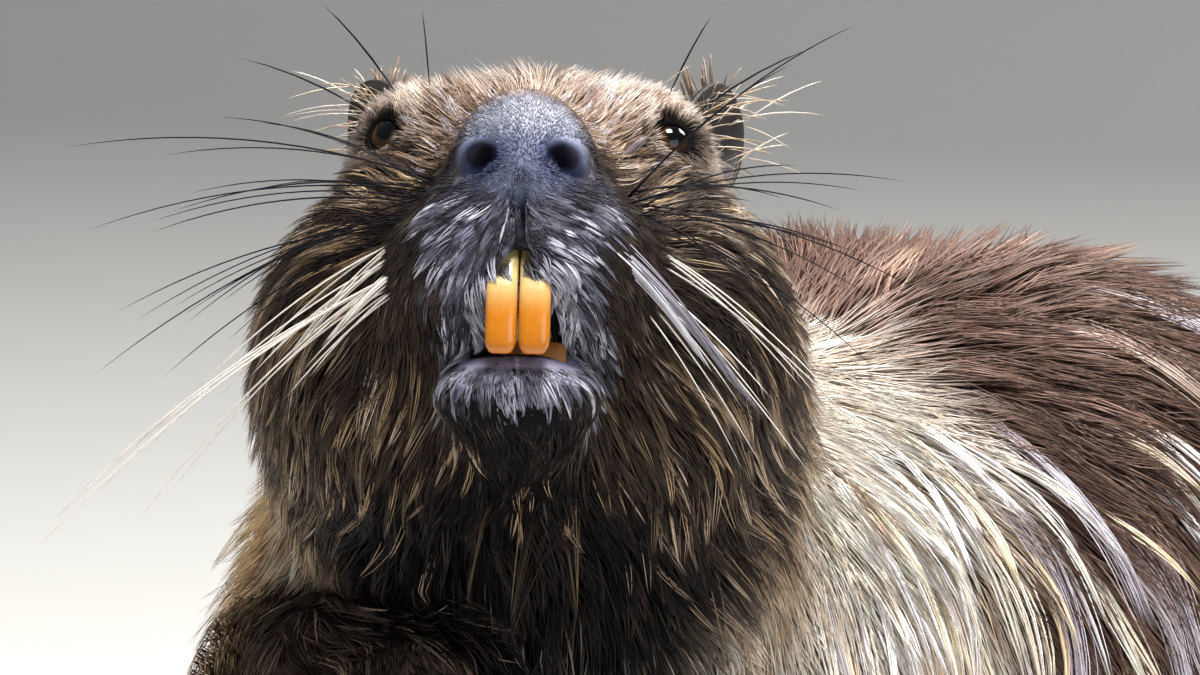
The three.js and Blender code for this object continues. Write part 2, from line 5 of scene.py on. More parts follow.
import bpy
import numpy as np
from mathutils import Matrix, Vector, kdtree


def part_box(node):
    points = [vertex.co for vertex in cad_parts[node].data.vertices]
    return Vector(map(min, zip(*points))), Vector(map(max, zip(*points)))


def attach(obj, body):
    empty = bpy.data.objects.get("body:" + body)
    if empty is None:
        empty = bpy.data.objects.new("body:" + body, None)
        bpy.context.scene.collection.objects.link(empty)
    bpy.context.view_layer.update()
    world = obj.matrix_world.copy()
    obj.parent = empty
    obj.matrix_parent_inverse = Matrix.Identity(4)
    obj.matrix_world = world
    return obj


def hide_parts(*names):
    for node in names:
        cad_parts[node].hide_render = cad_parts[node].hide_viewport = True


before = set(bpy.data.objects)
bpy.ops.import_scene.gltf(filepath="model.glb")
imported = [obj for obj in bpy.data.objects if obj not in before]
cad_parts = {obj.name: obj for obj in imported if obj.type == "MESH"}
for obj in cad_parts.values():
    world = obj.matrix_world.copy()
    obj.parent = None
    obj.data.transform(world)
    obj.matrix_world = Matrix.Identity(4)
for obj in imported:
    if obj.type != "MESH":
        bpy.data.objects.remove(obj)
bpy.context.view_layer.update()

scene = bpy.context.scene
startTime = time.time()
mm = 0.001  # everything below is worked out in millimetres and put into the meshes in metres


def report(stage):
    print(f"{time.time() - startTime:6.1f} s  {stage}")


# Small helpers on arrays of points

def unit(v):
    return v / np.maximum(np.linalg.norm(v, axis=-1, keepdims=True), 1e-9)


def dot(a, b):
    return (a * b).sum(-1)


def ramp(v, low, high):
    t = np.clip((v - low) / (high - low), 0, 1)
    return t * t * (3 - 2 * t)


def mix(a, b, share):
    share = np.asarray(share)
    if np.ndim(share) == 1 and (np.ndim(a) > 1 or np.ndim(b) > 1 or np.shape(a) == (3,)):
        share = share[:, None]
    return np.asarray(a) * (1 - share) + np.asarray(b) * share


def ripple(p, size, seed):  # smooth waves through space, from about -1 to 1
    dice = np.random.default_rng(seed)
    total = np.zeros(len(p))
    for _ in range(5):
        way = unit(dice.normal(size=3)) * 2 * math.pi / (size * dice.uniform(0.7, 1.5))
        total += np.sin(p @ way + dice.uniform(0, 6.28))
    return total / 2.6


def turned(x=0, y=0, z=0):  # degrees: about Y, then X, then Z
    cx, cy, cz = (math.cos(math.radians(v)) for v in (x, y, z))
    sx, sy, sz = (math.sin(math.radians(v)) for v in (x, y, z))
    aboutX = np.array([[1, 0, 0], [0, cx, -sx], [0, sx, cx]])
    aboutY = np.array([[cy, 0, sy], [0, 1, 0], [-sy, 0, cy]])
    aboutZ = np.array([[cz, -sz, 0], [sz, cz, 0], [0, 0, 1]])
    return aboutZ @ aboutX @ aboutY


def boxCentre(node):
    low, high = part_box(node)
    return np.array(low + high) * 500


# Where the head and body lie

pose = {"pitch": 21, "roll": 1, "yaw": 23.8}  # degrees
eye = {"radius": 5.4, "apart": 25, "behind": 55, "above": 19.2, "looks": (0.38, -0.87, 0.28)}
nostrilInBody = np.array([50, -131, 178])

headTurn = turned(-pose["pitch"], pose["roll"], pose["yaw"])
eyeMiddle = (boxCentre("eye_left") + boxCentre("eye_right")) / 2
headAt = eyeMiddle - headTurn @ (0, eye["behind"], eye["above"])
bodyAt = headAt - nostrilInBody


def inHead(x, y, z):
    return headAt + headTurn @ (x, y, z)


def inBody(x, y, z):
    return bodyAt + (x, y, z)


def headPlace(p):  # x to the animal's left, y back from the nostrils, z up
    return (p - headAt) @ headTurn


def fromHead(p):
    return p @ headTurn.T + headAt


def eyePlace(side):  # in the head's own frame
    return np.array((side * eye["apart"], eye["behind"], eye["above"]))


def fromEye(h, side):
    return np.linalg.norm(h - eyePlace(side), axis=1)


chestFront = inBody(0, -110, 0)[1]  # how far forward the chest comes
bothSides = {"left": 1, "right": -1}


# Camera, at the animal's eye level in front and a little to its left

lens = {"azimuth": 25, "elevation": 4.5, "distance": 2.6, "fieldOfView": 4.805,
        "aside": 14.18, "below": 32.64}  # where it aims, from the nostrils


def addCamera():
    a, e = math.radians(lens["azimuth"]), math.radians(lens["elevation"])
    towards = np.array([math.sin(a) * math.cos(e), -math.cos(a) * math.cos(e), math.sin(e)])
    right = np.array([math.cos(a), math.sin(a), 0])
    up = np.cross(towards, right)
    aim = (headAt + right * lens["aside"] - up * lens["below"]) * mm
    data = bpy.data.cameras.new("museumCamera")
    data.angle = math.radians(lens["fieldOfView"])
    data.clip_start = 0.05
    camera = bpy.data.objects.new("museumCamera", data)
    camera.location = aim + towards * lens["distance"]
    camera.rotation_euler = (math.pi / 2 - e, 0, a)
    scene.collection.objects.link(camera)
    scene.camera = camera


addCamera()

# The body as lumps that melt into each other

lumps = []


def ball(part, centre, radii, blend=16, turn=np.eye(3)):
    reach = np.sqrt((turn ** 2) @ np.square(radii).astype(float))
    lumps.append({"part": part, "kind": "ball", "at": np.array(centre, float), "turn": turn, "blend": blend,
                  "radii": np.array(radii, float), "low": centre - reach, "high": centre + reach})


def bone(part, start, end, startRadius, endRadius, blend=16, flat=1.0):
    start, end = np.array(start, float), np.array(end, float)
    most = max(startRadius, endRadius)
    lumps.append({"part": part, "kind": "bone", "at": start, "along": end - start, "blend": blend,
                  "flat": flat, "from": startRadius, "to": endRadius,
                  "low": np.minimum(start, end) - most, "high": np.maximum(start, end) + most})


def headBall(centre, radii, blend=10):
    ball("core", inHead(*centre), radii, blend, headTurn)


shoulder = {"right": inBody(-33, -14, 82), "left": inBody(45, -16, 66)}
elbow = {"right": inBody(-32, -62, 69), "left": inBody(59, -10, 37)}
wrist = {"right": inBody(12, -96, 76), "left": inBody(50, -62, 12)}
trunk = {"halfWidth": 86, "top": 151}


def layTrunk():
    ball("core", inBody(4, -28, 74), (62, 54, 64), 22)
    ball("core", inBody(0, 34, 76), (74, 84, trunk["top"] - 89), 22)
    ball("core", inBody(0, 100, 72), (trunk["halfWidth"], 95, 65), 22)
    for side in (1, -1):
        ball("core", inBody(side * 24, 153, 81), (62, 96, trunk["top"] - 83), 18)
    ball("core", inBody(0, 208, 64), (70, 60, 57), 22)
    ball("core", inBody(-31, -6, 72), (28, 42, 50))
    ball("core", inBody(48, -12, 70), (30, 42, 50))
    bone("core", shoulder["right"], elbow["right"], 25, 18)
    bone("core", shoulder["left"], elbow["left"], 27, 19)
    for side in (1, -1):
        ball("core", inBody(side * 63, 172, 60), (34, 60, 52), turn=turned(12))
    for side in (1, -1):
        bone("core", inBody(side * 72, 130, 42), inBody(side * 66, 226, 22), 21, 13, 20)
    bone("core", inBody(0, 225, 50), inBody(4, 276, 27), 30, 16.5, 18)


def layNeckAndHead():
    bone("core", inHead(0, 96, -15), inBody(2, -8, 84), 45, 58, 20)
    ball("core", inBody(30, -62, 100), (38, 30, 34), 20)
    headBall((0, 84, 9), (38, 37, 33))
    bone("core", inHead(0, 12, 2), inHead(0, 66, 7), 11.5, 26, 10)
    headBall((0, 28, -14), (22, 30, 21))
    headBall((0, 9.5, 2), (11.5, 11.5, 13.2), 7)
    for side in (1, -1):
        headBall((side * 12, 16, -17), (12, 15, 13), 8)
    for side in (1, -1):
        headBall((side * 20, 62, 20.5), (13, 16, 12), 9)
    for side in (1, -1):
        headBall((side * 27, 64, -21), (26, 42, 33), 17)
    bone("core", inHead(0, 27, -41), inHead(0, 72, -30), 13, 33, 12)
    headBall((0, 14, -41.6), (15.5, 10, 8.3), 6)
    headBall((0, 92, -27), (49, 38, 36), 14)


def gazeFrame(side):  # columns: towards where the eye looks, across, up the lid
    gaze = unit(np.array(eye["looks"]) * (side, 1, 1))
    across = unit(np.cross((0, 0, 1), gaze))
    return np.stack([gaze, across, np.cross(gaze, across)], 1)


def layLids():
    for side in (1, -1):
        gaze = gazeFrame(side)
        at = eyePlace(side) + gaze[:, 0] * 0.2
        ball("core", inHead(*at), (6.3, 6.8, 6.3), 3, headTurn @ gaze)


def layForearms():
    middle = {"left": inBody(57, -36, 26), "right": inBody(-13, -84, 77)}
    for name in bothSides:
        bone("arm", elbow[name], middle[name], 17, 13.2, 8)
        bone("arm", middle[name], wrist[name], 13.2, 9.4, 8)


# Feet lie in a frame of their own: toes towards -Y and the sole facing down.
hindFoot = {"lengths": (30, 44, 52, 53, 38), "toe": 4.6, "ball": -74.5, "claw": 11}
foreFoot = {"lengths": (17, 21, 22, 18), "toe": 3.3, "palm": 27, "claw": 9}
raisedHand = turned(50, 0, 52)
footFrames = {
    "forefoot_left": (inBody(50, -64, 0), turned(z=-4)),
    "forefoot_right": (wrist["right"] - raisedHand @ (0, -2, 10), raisedHand),
    "hindfoot_left": (inBody(66, 236, 0), turned(z=7)),
    "hindfoot_right": (inBody(-66, 236, 0), turned(z=-7)),
}


def toePlan(name):
    if name.startswith("hind"):
        plan = [{"root": (-10.5 + n * 5.4, hindFoot["ball"] + 6 + abs(n - 2) * 2.5, 5.5),
                 "out": -13 + n * 7.5, "length": reach + 12, "half": hindFoot["toe"] - abs(n - 2.4) * 0.25,
                 "tip": 3.1, "claw": hindFoot["claw"] - 2 * (n == 0)}
                for n, reach in enumerate(hindFoot["lengths"])]
    else:
        plan = [{"root": (-6.5, -foreFoot["palm"] * 0.5, 4.8), "out": -38, "length": 9, "half": 2.8, "tip": 2,
                 "claw": 4.5}]
        plan += [{"root": (-7.2 + n * 4.8, -foreFoot["palm"] * 0.82 + abs(n - 1.5) * 1.4, 4.6),
                  "out": -11 + n * 8, "length": reach + 4, "half": foreFoot["toe"], "tip": 2.5,
                  "claw": foreFoot["claw"]} for n, reach in enumerate(foreFoot["lengths"])]
    return plan


def toePoints(name, toe):
    side = 1 if name.endswith("left") else -1
    curl = 7 if name == "forefoot_right" else 0
    at, turn = footFrames[name]
    x, y, z = toe["root"]
    out = math.radians(toe["out"])

    def along(share, height):
        reach = toe["length"] * share
        return at + turn @ (side * (x + math.sin(out) * reach), y - math.cos(out) * reach, height)

    knuckle = along(0.55, toe["half"] * 0.6 - curl * 0.3)
    return [along(0, z), knuckle, along(1 - curl * 0.02, toe["tip"] - curl)]


def layFoot(name):
    at, turn = footFrames[name]

    def place(x, y, z):
        return at + turn @ (x, y, z)

    if name.startswith("hind"):
        bone(name, place(0, 1, 8.2), place(0, -37, 7), 9.5, 12.5, 4, 0.8)
        bone(name, place(0, -37, 7), place(0, -62, 5.6), 12.5, 15, 4, 0.5)
    else:
        bone(name, place(0, 0, 8.8), place(0, -11, 7.2), 7.6, 9.5, 4, 0.8)
        bone(name, place(0, -11, 7.2), place(0, -18, 5.6), 9.5, 10.5, 4, 0.58)
    toes = [(toePoints(name, toe), toe["half"]) for toe in toePlan(name)]
    for (root, knuckle, tip), half in toes:
        bone(name, root, knuckle, half, half * 0.85, 2.5)
        bone(name, knuckle, tip + unit(root - tip), half * 0.85, half * 0.66, 1.5)
        bone(name, knuckle, knuckle, half * 0.98, half * 0.98, 2)
    if name.startswith("hind"):  # web between the first four toes
        for (a, _), (b, _) in zip(toes[:3], toes[1:4]):
            for share in (0.2, 0.55, 0.9):
                edge = [p[0] * (1 - share) + p[1] * share for p in (a, b)]
                bone(name, edge[0] - (0, 0, 0.6), edge[1] - (0, 0, 0.6), 6, 6, 2, 0.2)
            edge = [p[1] * 0.75 + p[2] * 0.25 for p in (a, b)]
            bone(name, edge[0], edge[1], 3, 3, 2, 0.32)


def smoothPath(points, count):  # a curve through the points
    before, after = 2 * np.array(points[0]) - points[1], 2 * np.array(points[-1]) - points[-2]
    points = np.array([before, *points, after], float)
    spans = len(points) - 3
    at = np.linspace(0, spans, count)
    n = np.minimum(at.astype(int), spans - 1)
    t = (at - n)[:, None]
    a, b, c, d = points[n], points[n + 1], points[n + 2], points[n + 3]
    first, second, third = (c - a) * t, (2 * a - 5 * b + 4 * c - d) * t ** 2, (3 * b - a - 3 * c + d) * t ** 3
    return 0.5 * (2 * b + first + second + third)


tail = {"rootRadius": 20, "radius": 15.5, "tipRadius": 3.6}


def tailRadius(share):
    swell = (tail["rootRadius"] - tail["radius"]) * np.maximum(0, 1 - share / 0.1) ** 2
    return tail["radius"] + (tail["tipRadius"] - tail["radius"]) * share + swell


def tailLine(count):
    stops = [(1, 266, 33, 0), (3, 282, 22, 0.05), (9, 306, 0, 0.11), (34, 380, 0, 0.31), (70, 450, 0, 0.52),
             (104, 520, 0, 0.73), (122, 570, 0, 0.88), (125, 608.6, 0, 1)]
    points = [inBody(x, y, z or tailRadius(share) * 0.9) for x, y, z, share in stops]
    line = smoothPath(points, count)
    gone = np.concatenate([[0], np.cumsum(np.linalg.norm(np.diff(line, axis=0), axis=1))])
    share = gone / gone[-1]
    line[:, 2] = np.where(share > 0.11, tailRadius(share) * 0.9, line[:, 2])
    return line, share


def layTail():
    line, share = tailLine(26)
    for n in range(25):
        a, b = tailRadius(share[n:n + 2])
        bone("tail", line[n], line[n + 1], a, b, 0.4)


layTrunk()
layNeckAndHead()
layLids()
layForearms()
for footName in footFrames:
    layFoot(footName)
layTail()

# Distance to the lumps, worked out cell by cell from the lumps near each cell

cellSize = 30.0
lumpsNear = {}
lumpLow = np.array([lump["low"] - lump["blend"] for lump in lumps]) - 17
lumpHigh = np.array([lump["high"] + lump["blend"] for lump in lumps]) + 17
partNames = ["core", "arm", "feet", "tail"]


def lumpDistance(lump, p):
    q = p - lump["at"].astype(np.float32)
    if lump["kind"] == "ball":
        q = q @ lump["turn"].astype(np.float32)
        near = np.sqrt(np.square(q / lump["radii"]).sum(1))
        slope = np.sqrt(np.square(q / lump["radii"] ** 2).sum(1))
        return near * (near - 1) / np.maximum(slope, 1e-6)
    along = lump["along"]
    length = max(float(along @ along), 1e-6)
    share = np.clip(q @ along / length, 0, 1)
    q = q - share[:, None] * along
    q[:, 2] /= lump["flat"]
    radius = lump["from"] + (lump["to"] - lump["from"]) * share
    return (np.sqrt(np.square(q).sum(1)) - radius) * (0.5 + 0.5 * lump["flat"])


def melt(a, b, width):
    over = np.maximum(width - np.abs(a - b), 0)
    return np.minimum(a, b) - over * over * (0.25 / width)


def partDistances(p):  # one row for each part: core, arm, feet, tail
    cells = np.floor(p / cellSize).astype(np.int64)
    keys = (cells[:, 0] + 500) * 1000000 + (cells[:, 1] + 500) * 1000 + cells[:, 2] + 500
    order = np.argsort(keys, kind="stable")
    found, starts = np.unique(keys[order], return_index=True)
    made = np.full((4, len(p)), 60.0, np.float32)
    for key, members in zip(found.tolist(), np.split(order, starts[1:])):
        if key not in lumpsNear:
            low = (np.array([key // 1000000, key // 1000 % 1000, key % 1000]) - 500) * cellSize
            near = ((lumpLow < low + cellSize) & (lumpHigh > low)).all(1)
            lumpsNear[key] = np.flatnonzero(near).tolist()
        if not lumpsNear[key]:
            continue
        here = p[members]
        values = {}
        for n in lumpsNear[key]:
            lump = lumps[n]
            d = lumpDistance(lump, here)
            part = lump["part"]
            values[part] = melt(values[part], d, lump["blend"]) if part in values else d
        for part, d in values.items():
            row = partNames.index(part) if part in partNames else 2
            made[row, members] = np.minimum(made[row, members], d)
    return made


def outlineAt(p):  # distance to the outside of the coat
    core, arm, feet, tailPart = partDistances(p)
    return np.minimum(melt(melt(melt(core, arm, 9), feet, 5), tailPart, 10), 50)


# The skin lies inside the outline by the coat's depth

def coatDepth(p, h):
    depth = np.interp(h[:, 1], [3, 11, 22, 45, 80, 110, 150], [0.4, 0.8, 2.0, 4.2, 6.5, 9, 12])
    for side in (1, -1):
        apart = np.linalg.norm(h - (eyePlace(side * 1.1) - (0, 2, 0)), axis=1)
        depth *= 1 - 0.8 * np.exp(-np.square(apart / 10))
    chin = np.linalg.norm((h - (0, 12, -44)) / (1, 1, 0.8), axis=1)
    depth *= 1 - 0.6 * np.exp(-np.square(chin / 16))
    depth *= np.interp(p[:, 1], bodyAt[1] + np.array([240, 272]), [1, 0.35])
    return depth * np.interp(p[:, 2], [10, 50], [0.5, 1])


def carve(d, tool, width):
    return -melt(-d, tool, width)


def ellipsoidAt(h, centre, radii, turn=np.eye(3)):
    q = (h - np.array(centre)) @ turn
    near = np.sqrt(np.square(q / np.array(radii)).sum(1))
    slope = np.sqrt(np.square(q / np.square(radii)).sum(1))
    return near * (near - 1) / np.maximum(slope, 1e-6)


lidGap = {"at": (5.6, -0.9, -0.9), "radii": (4.6, 3.0, 2.8)}  # ahead, across and up from the eye's middle
mouth = {"heights": [-36.5, -34.4, -31, -27.5, -24.5, -21.5, -18.8, -16.0],
         "halfWidths": [8.2, 8.2, 7.4, 6.4, 5.6, 4.6, 3.4, 0.9], "top": -16.2, "bottom": -34.2, "depth": 14}


def mouthHalf(h):
    return np.interp(h[:, 2], mouth["heights"], mouth["halfWidths"])


def faceDetail(d, h):  # lids, nostrils, the cleft under the nose and the mouth
    for side in (1, -1):
        gaze = gazeFrame(side)
        d = carve(d, ellipsoidAt(h, eyePlace(side) + gaze @ lidGap["at"], lidGap["radii"], gaze), 1.6)
        pit = ellipsoidAt(h, (side * 6.6, -0.6, -0.2), (2.4, 5.5, 2.7), turned(z=side * 28))
        d = carve(d, pit, 1.3)
        slit = ellipsoidAt(h, (side * 9.4, 1.6, -1.9), (2.6, 2.8, 1.0), turned(0, side * 28, side * 40))
        d = carve(d, slit, 2.0)
    d = carve(d, ellipsoidAt(h, (0, -1.6, -12.5), (1.1, 3.4, 8.5)), 2.0)
    ends = np.maximum(h[:, 2] - mouth["top"], mouth["bottom"] - h[:, 2])
    opening = np.maximum(np.abs(h[:, 0]) - mouthHalf(h), ends)
    opening = np.maximum(opening, h[:, 1] - mouth["depth"])
    d = carve(d, opening, 1.6)
    lipCleft = ellipsoidAt(h, (0, 3.6, -46), (0.9, 3, 6))
    return carve(d, lipCleft, 2.5)


def skinAt(p):
    h = headPlace(p)
    core, arm, feet, tailPart = partDistances(p)
    core = core + coatDepth(p, h)
    face = (np.abs(h[:, 0]) < 42) & (h[:, 1] < 72) & (h[:, 2] > -56) & (np.abs(core) < 30)
    if face.any():
        core[face] = faceDetail(core[face], h[face])
    d = melt(melt(melt(core, arm + 2.5, 9), feet + 0.3, 5), tailPart + 0.4, 10)
    return np.maximum(d, -p[:, 2])


def slopeAt(field, p, d, h=0.25):
    steps = [field(p + np.array(step, np.float32) * h) - d for step in ((1, 0, 0), (0, 1, 0), (0, 0, 1))]
    return np.stack(steps, 1) / h


def settle(field, p, level=0.0, passes=2):
    for _ in range(passes):
        d = field(p)
        slope = slopeAt(field, p, d)
        p = p + slope * ((level - d) / np.maximum(dot(slope, slope), 0.3))[:, None]
    return p


# One closed net over the skin, finer over the face and feet

netSpacing = {
    "x": [(-122, 2.6), (-95, 2.1), (-48, 2.0), (0, 1.7), (72, 1.7), (100, 2.1), (124, 2.6)],
    "y": [(-384, 1.3), (-352, 1.5), (-330, 1.9), (-250, 2.3), (-225, 3.0), (-132, 3.0), (-120, 2.3),
          (15, 2.6), (60, 4.0), (384, 4.0)],
    "z": [(-1.35, 0.9), (9, 0.9), (20, 1.7), (34, 2.0), (82, 2.0), (125, 1.6), (196, 1.7)],
}


def ticks(stops):
    made = [stops[0][0]]
    while made[-1] < stops[-1][0]:
        made.append(made[-1] + np.interp(made[-1], *zip(*stops)))
    return np.array(made, np.float32)


def netOver(field, xs, ys, zs):
    grid = np.stack(np.meshgrid(xs, ys, zs, indexing="ij"), -1).reshape(-1, 3)
    values = field(grid)
    shape = (len(xs), len(ys), len(zs))
    inside = (values < 0).reshape(shape)
    count = sum(inside[i:shape[0] - 1 + i, j:shape[1] - 1 + j, k:shape[2] - 1 + k].astype(np.int8)
                for i in (0, 1) for j in (0, 1) for k in (0, 1))
    cells = np.argwhere((count > 0) & (count < 8))
    number = np.full(count.shape, -1, np.int64)
    number[tuple(cells.T)] = np.arange(len(cells))
    corners = np.array([(n & 1, n >> 1 & 1, n >> 2) for n in range(8)])
    at = cells[:, None, :] + corners
    flat = np.ravel_multi_index(tuple(at.reshape(-1, 3).T), shape).reshape(-1, 8)
    value, place = values[flat], grid[flat]
    total, crossings = np.zeros((len(cells), 3)), np.zeros(len(cells))
    for a in range(8):
        for bit in (1, 2, 4):
            if a & bit:
                continue
            b = a | bit
            crossed = (value[:, a] < 0) != (value[:, b] < 0)
            share = value[:, a] / np.where(crossed, value[:, a] - value[:, b], 1)
            total += np.where(crossed[:, None], place[:, a] + (place[:, b] - place[:, a]) * share[:, None], 0)
            crossings += crossed
    verts = total / crossings[:, None]
    quads = []
    for axis in range(3):
        u, v = (axis + 1) % 3, (axis + 2) % 3
        low = [slice(None)] * 3
        high = [slice(None)] * 3
        low[axis], high[axis] = slice(0, -1), slice(1, None)
        first = inside[tuple(low)]
        nodes = np.argwhere(first != inside[tuple(high)])
        across = nodes[:, [u, v]]
        nodes = nodes[((across > 0) & (across < (shape[u] - 1, shape[v] - 1))).all(1)]
        outward = first[tuple(nodes.T)]
        ring = []
        for du, dv in ((1, 1), (0, 1), (0, 0), (1, 0)):
            cell = nodes.copy()
            cell[:, u] -= du
            cell[:, v] -= dv
            ring.append(number[tuple(cell.T)])
        ring = np.stack(ring, 1)
        quads.append(np.where(outward[:, None], ring, ring[:, ::-1]))
    return verts.astype(np.float32), np.concatenate(quads)


def relaxed(verts, quads, share):  # evens the net out
    a = np.concatenate([quads[:, n] for n in range(4)])
    b = np.concatenate([quads[:, (n + 1) % 4] for n in range(4)])
    count = np.bincount(a, minlength=len(verts)).astype(float)
    total = np.stack([np.bincount(a, verts[b, n], len(verts)) for n in range(3)], 1)
    mean = total / np.maximum(count, 1)[:, None]
    return (verts * (1 - share) + mean * share).astype(np.float32)


def refined(verts, quads, chosen):  # the chosen faces in four, and their neighbours with the extra corners
    after = np.roll(quads, -1, 1)
    key = np.minimum(quads, after) * len(verts) + np.maximum(quads, after)
    wanted = np.unique(key[chosen])
    spot = np.minimum(np.searchsorted(wanted, key), len(wanted) - 1)
    middle = np.where(wanted[spot] == key, len(verts) + spot, -1)
    centre = len(verts) + len(wanted) + np.arange(chosen.sum())
    q, m = quads[chosen], middle[chosen]
    fours = [np.stack([q[:, n], m[:, n], centre, m[:, n - 1]], 1) for n in range(4)]
    fours = np.stack(fours, 1).reshape(-1, 4)
    rest = np.stack([quads[~chosen], middle[~chosen]], 2).reshape(-1, 8)
    sizes = np.concatenate([(rest >= 0).sum(1), np.full(len(fours), 4)])
    loops = np.concatenate([rest[rest >= 0], fours.ravel()])
    halfway = (verts[wanted // len(verts)] + verts[wanted % len(verts)]) / 2
    return np.concatenate([verts, halfway, verts[q].mean(1)]).astype(np.float32), loops, sizes


def nearDetail(h):
    mouthAndNose = (np.abs(h[:, 0]) < 18) & (h[:, 1] < 17) & (h[:, 2] > -56) & (h[:, 2] < 14)
    return (fromEye(h, 1) < 11.5) | (fromEye(h, -1) < 11.5) | mouthAndNose


def makeSkinNet():
    xs, ys, zs = (ticks(netSpacing[axis]) for axis in "xyz")
    report(f"net of {len(xs)} x {len(ys)} x {len(zs)}")
    verts, quads = netOver(skinAt, xs, ys, zs)
    for _ in range(2):
        verts = settle(skinAt, relaxed(verts, quads, 0.6), passes=1)
    verts, loops, sizes = refined(verts, quads, nearDetail(headPlace(verts[quads].mean(1))))
    verts = settle(skinAt, verts, passes=2)
    verts[:, 2] = np.maximum(verts[:, 2], 0)
    return verts, loops, sizes


skinVerts, skinLoops, skinSizes = makeSkinNet()
report(f"skin net settled: {len(skinSizes)} faces, {int((skinSizes - 2).sum())} triangles")

# The coat's plan: where each kind of hair grows, its size and its colours (linear)

hue = {
    "nose": (0.42, 0.43, 0.54), "slate": (0.075, 0.07, 0.09), "silver": (0.42, 0.42, 0.55),
    "soot": (0.012, 0.011, 0.013), "umber": (0.055, 0.036, 0.027), "chestnut": (0.20, 0.115, 0.075),
    "straw": (0.68, 0.53, 0.40), "honey": (0.82, 0.62, 0.40), "gold": (0.50, 0.34, 0.18),
    "amber": (0.60, 0.36, 0.15), "sand": (0.54, 0.37, 0.24), "cream": (0.93, 0.85, 0.77),
    "frost": (0.66, 0.66, 0.78), "pearl": (0.74, 0.71, 0.76), "mist": (0.62, 0.59, 0.68),
    "rosewood": (0.27, 0.145, 0.115), "ash": (0.22, 0.22, 0.30), "pitch": (0.004, 0.004, 0.005),
}
tuftFullness = 0.62  # a tuft's mean width over its widest


def within(h, centre, radii, soft=0.25):  # 1 inside an egg-shaped zone, fading out round it
    q = np.linalg.norm((h - np.array(centre)) / np.array(radii), axis=1)
    return 1 - ramp(q, 1 - soft, 1 + soft)


def zones(p, h):
    made = {}
    b = p - bodyAt
    made["nose"] = within(h, (0, 3, 2.3), (10.9, 11, 10.4), 0.2)
    lip = within(h, (0, 10, -35.4), (15.0, 10, 3.0), 0.12)
    ragged = h[:, 2] + 1.8 * ripple(h * (1, 0.2, 0.2), 6, 12) - 0.32 * np.abs(h[:, 0] + 0.5)
    made["lipFringe"] = within(np.stack([h[:, 0], h[:, 1], ragged], 1), (0, 7, -40.6), (14.5, 9, 4.4), 0.12)
    inMouth = within(h, (0, 10, -28), (8.5, 16, 9), 0.15) * (h[:, 1] > 3)
    made["lip"] = np.maximum(lip, inMouth)
    aside = np.abs(h[:, 0]) + 2.5 * ripple(h, 12, 31)
    made["muzzle"] = (1 - ramp(h[:, 1], 14, 28)) * (1 - ramp(aside, 10, 17)) * ramp(h[:, 2], -44, -36)
    made["muzzle"] *= 1 - ramp(h[:, 2], -4, 6)
    made["chin"] = ramp(-h[:, 2], 36, 50) * (1 - ramp(np.abs(h[:, 0] + 3), 24, 50))
    made["chin"] *= 1 - ramp(h[:, 1], 110, 150)
    made["bridge"] = (1 - ramp(np.abs(h[:, 0]), 10, 18)) * ramp(h[:, 2], 4, 12)
    made["bridge"] *= 1 - ramp(h[:, 1], 40, 60)
    made["head"] = 1 - ramp(h[:, 1] + 0.6 * np.maximum(-45 - h[:, 2], 0), 76, 94)
    chest = (1 - ramp(p[:, 1], chestFront + 55, chestFront + 110)) * (1 - ramp(p[:, 2], 80, 112))
    made["chest"] = chest * (1 - made["head"]) * (1 - ramp(b[:, 0] + 4 * ripple(p, 20, 4), 24, 42))
    back = b[:, 1] - 0.8 * np.maximum(b[:, 2] - 92, 0) + 8 * ripple(p, 40, 8)
    crest = ramp(b[:, 2], 118, 136) * (1 - ramp(np.abs(b[:, 0] - 2), 10, 30))
    made["mantle"] = (1 - ramp(back, 36, 60)) * (1 - made["head"]) * (1 - made["chest"]) * (1 - crest)
    made["tan"] = ramp(-b[:, 0], 14, 36) * (1 - ramp(b[:, 1], 0, 40)) * (1 - made["head"])
    made["nape"] = (1 - ramp(np.abs(h[:, 1] - 92), 5, 16)) * ramp(h[:, 2], -70, -40)
    made["belly"] = (1 - ramp(p[:, 2], 22, 46)) * ramp(p[:, 1], chestFront + 60, chestFront + 120)
    return made


def bareness(p):  # of the paws and the tail, and the forearms, where the coat is short
    _, arm, feet, tailPart = partDistances(p.astype(np.float32))
    paws = 1 - ramp(feet, 1.2, 4)
    tailSkin = (1 - ramp(tailPart, 1.2, 3)) * ramp(p[:, 1], *(inBody(0, 276, 0)[1], inBody(0, 296, 0)[1]))
    return paws, tailSkin, 1 - ramp(arm, 2, 7)


# A mask for painted shade: the nose and its hair are darkened in and round the nostrils.
def nostrilRim(h):  # 1 in and round the nostrils, fading out over the nose
    mirrored = np.abs(h) * (1, 0, 0) + h * (0, 1, 1)
    return 1 - ramp(np.linalg.norm((mirrored - (7.6, 0, -0.2)) / (5.6, 9, 4.6), axis=1), 0.6, 1.15)


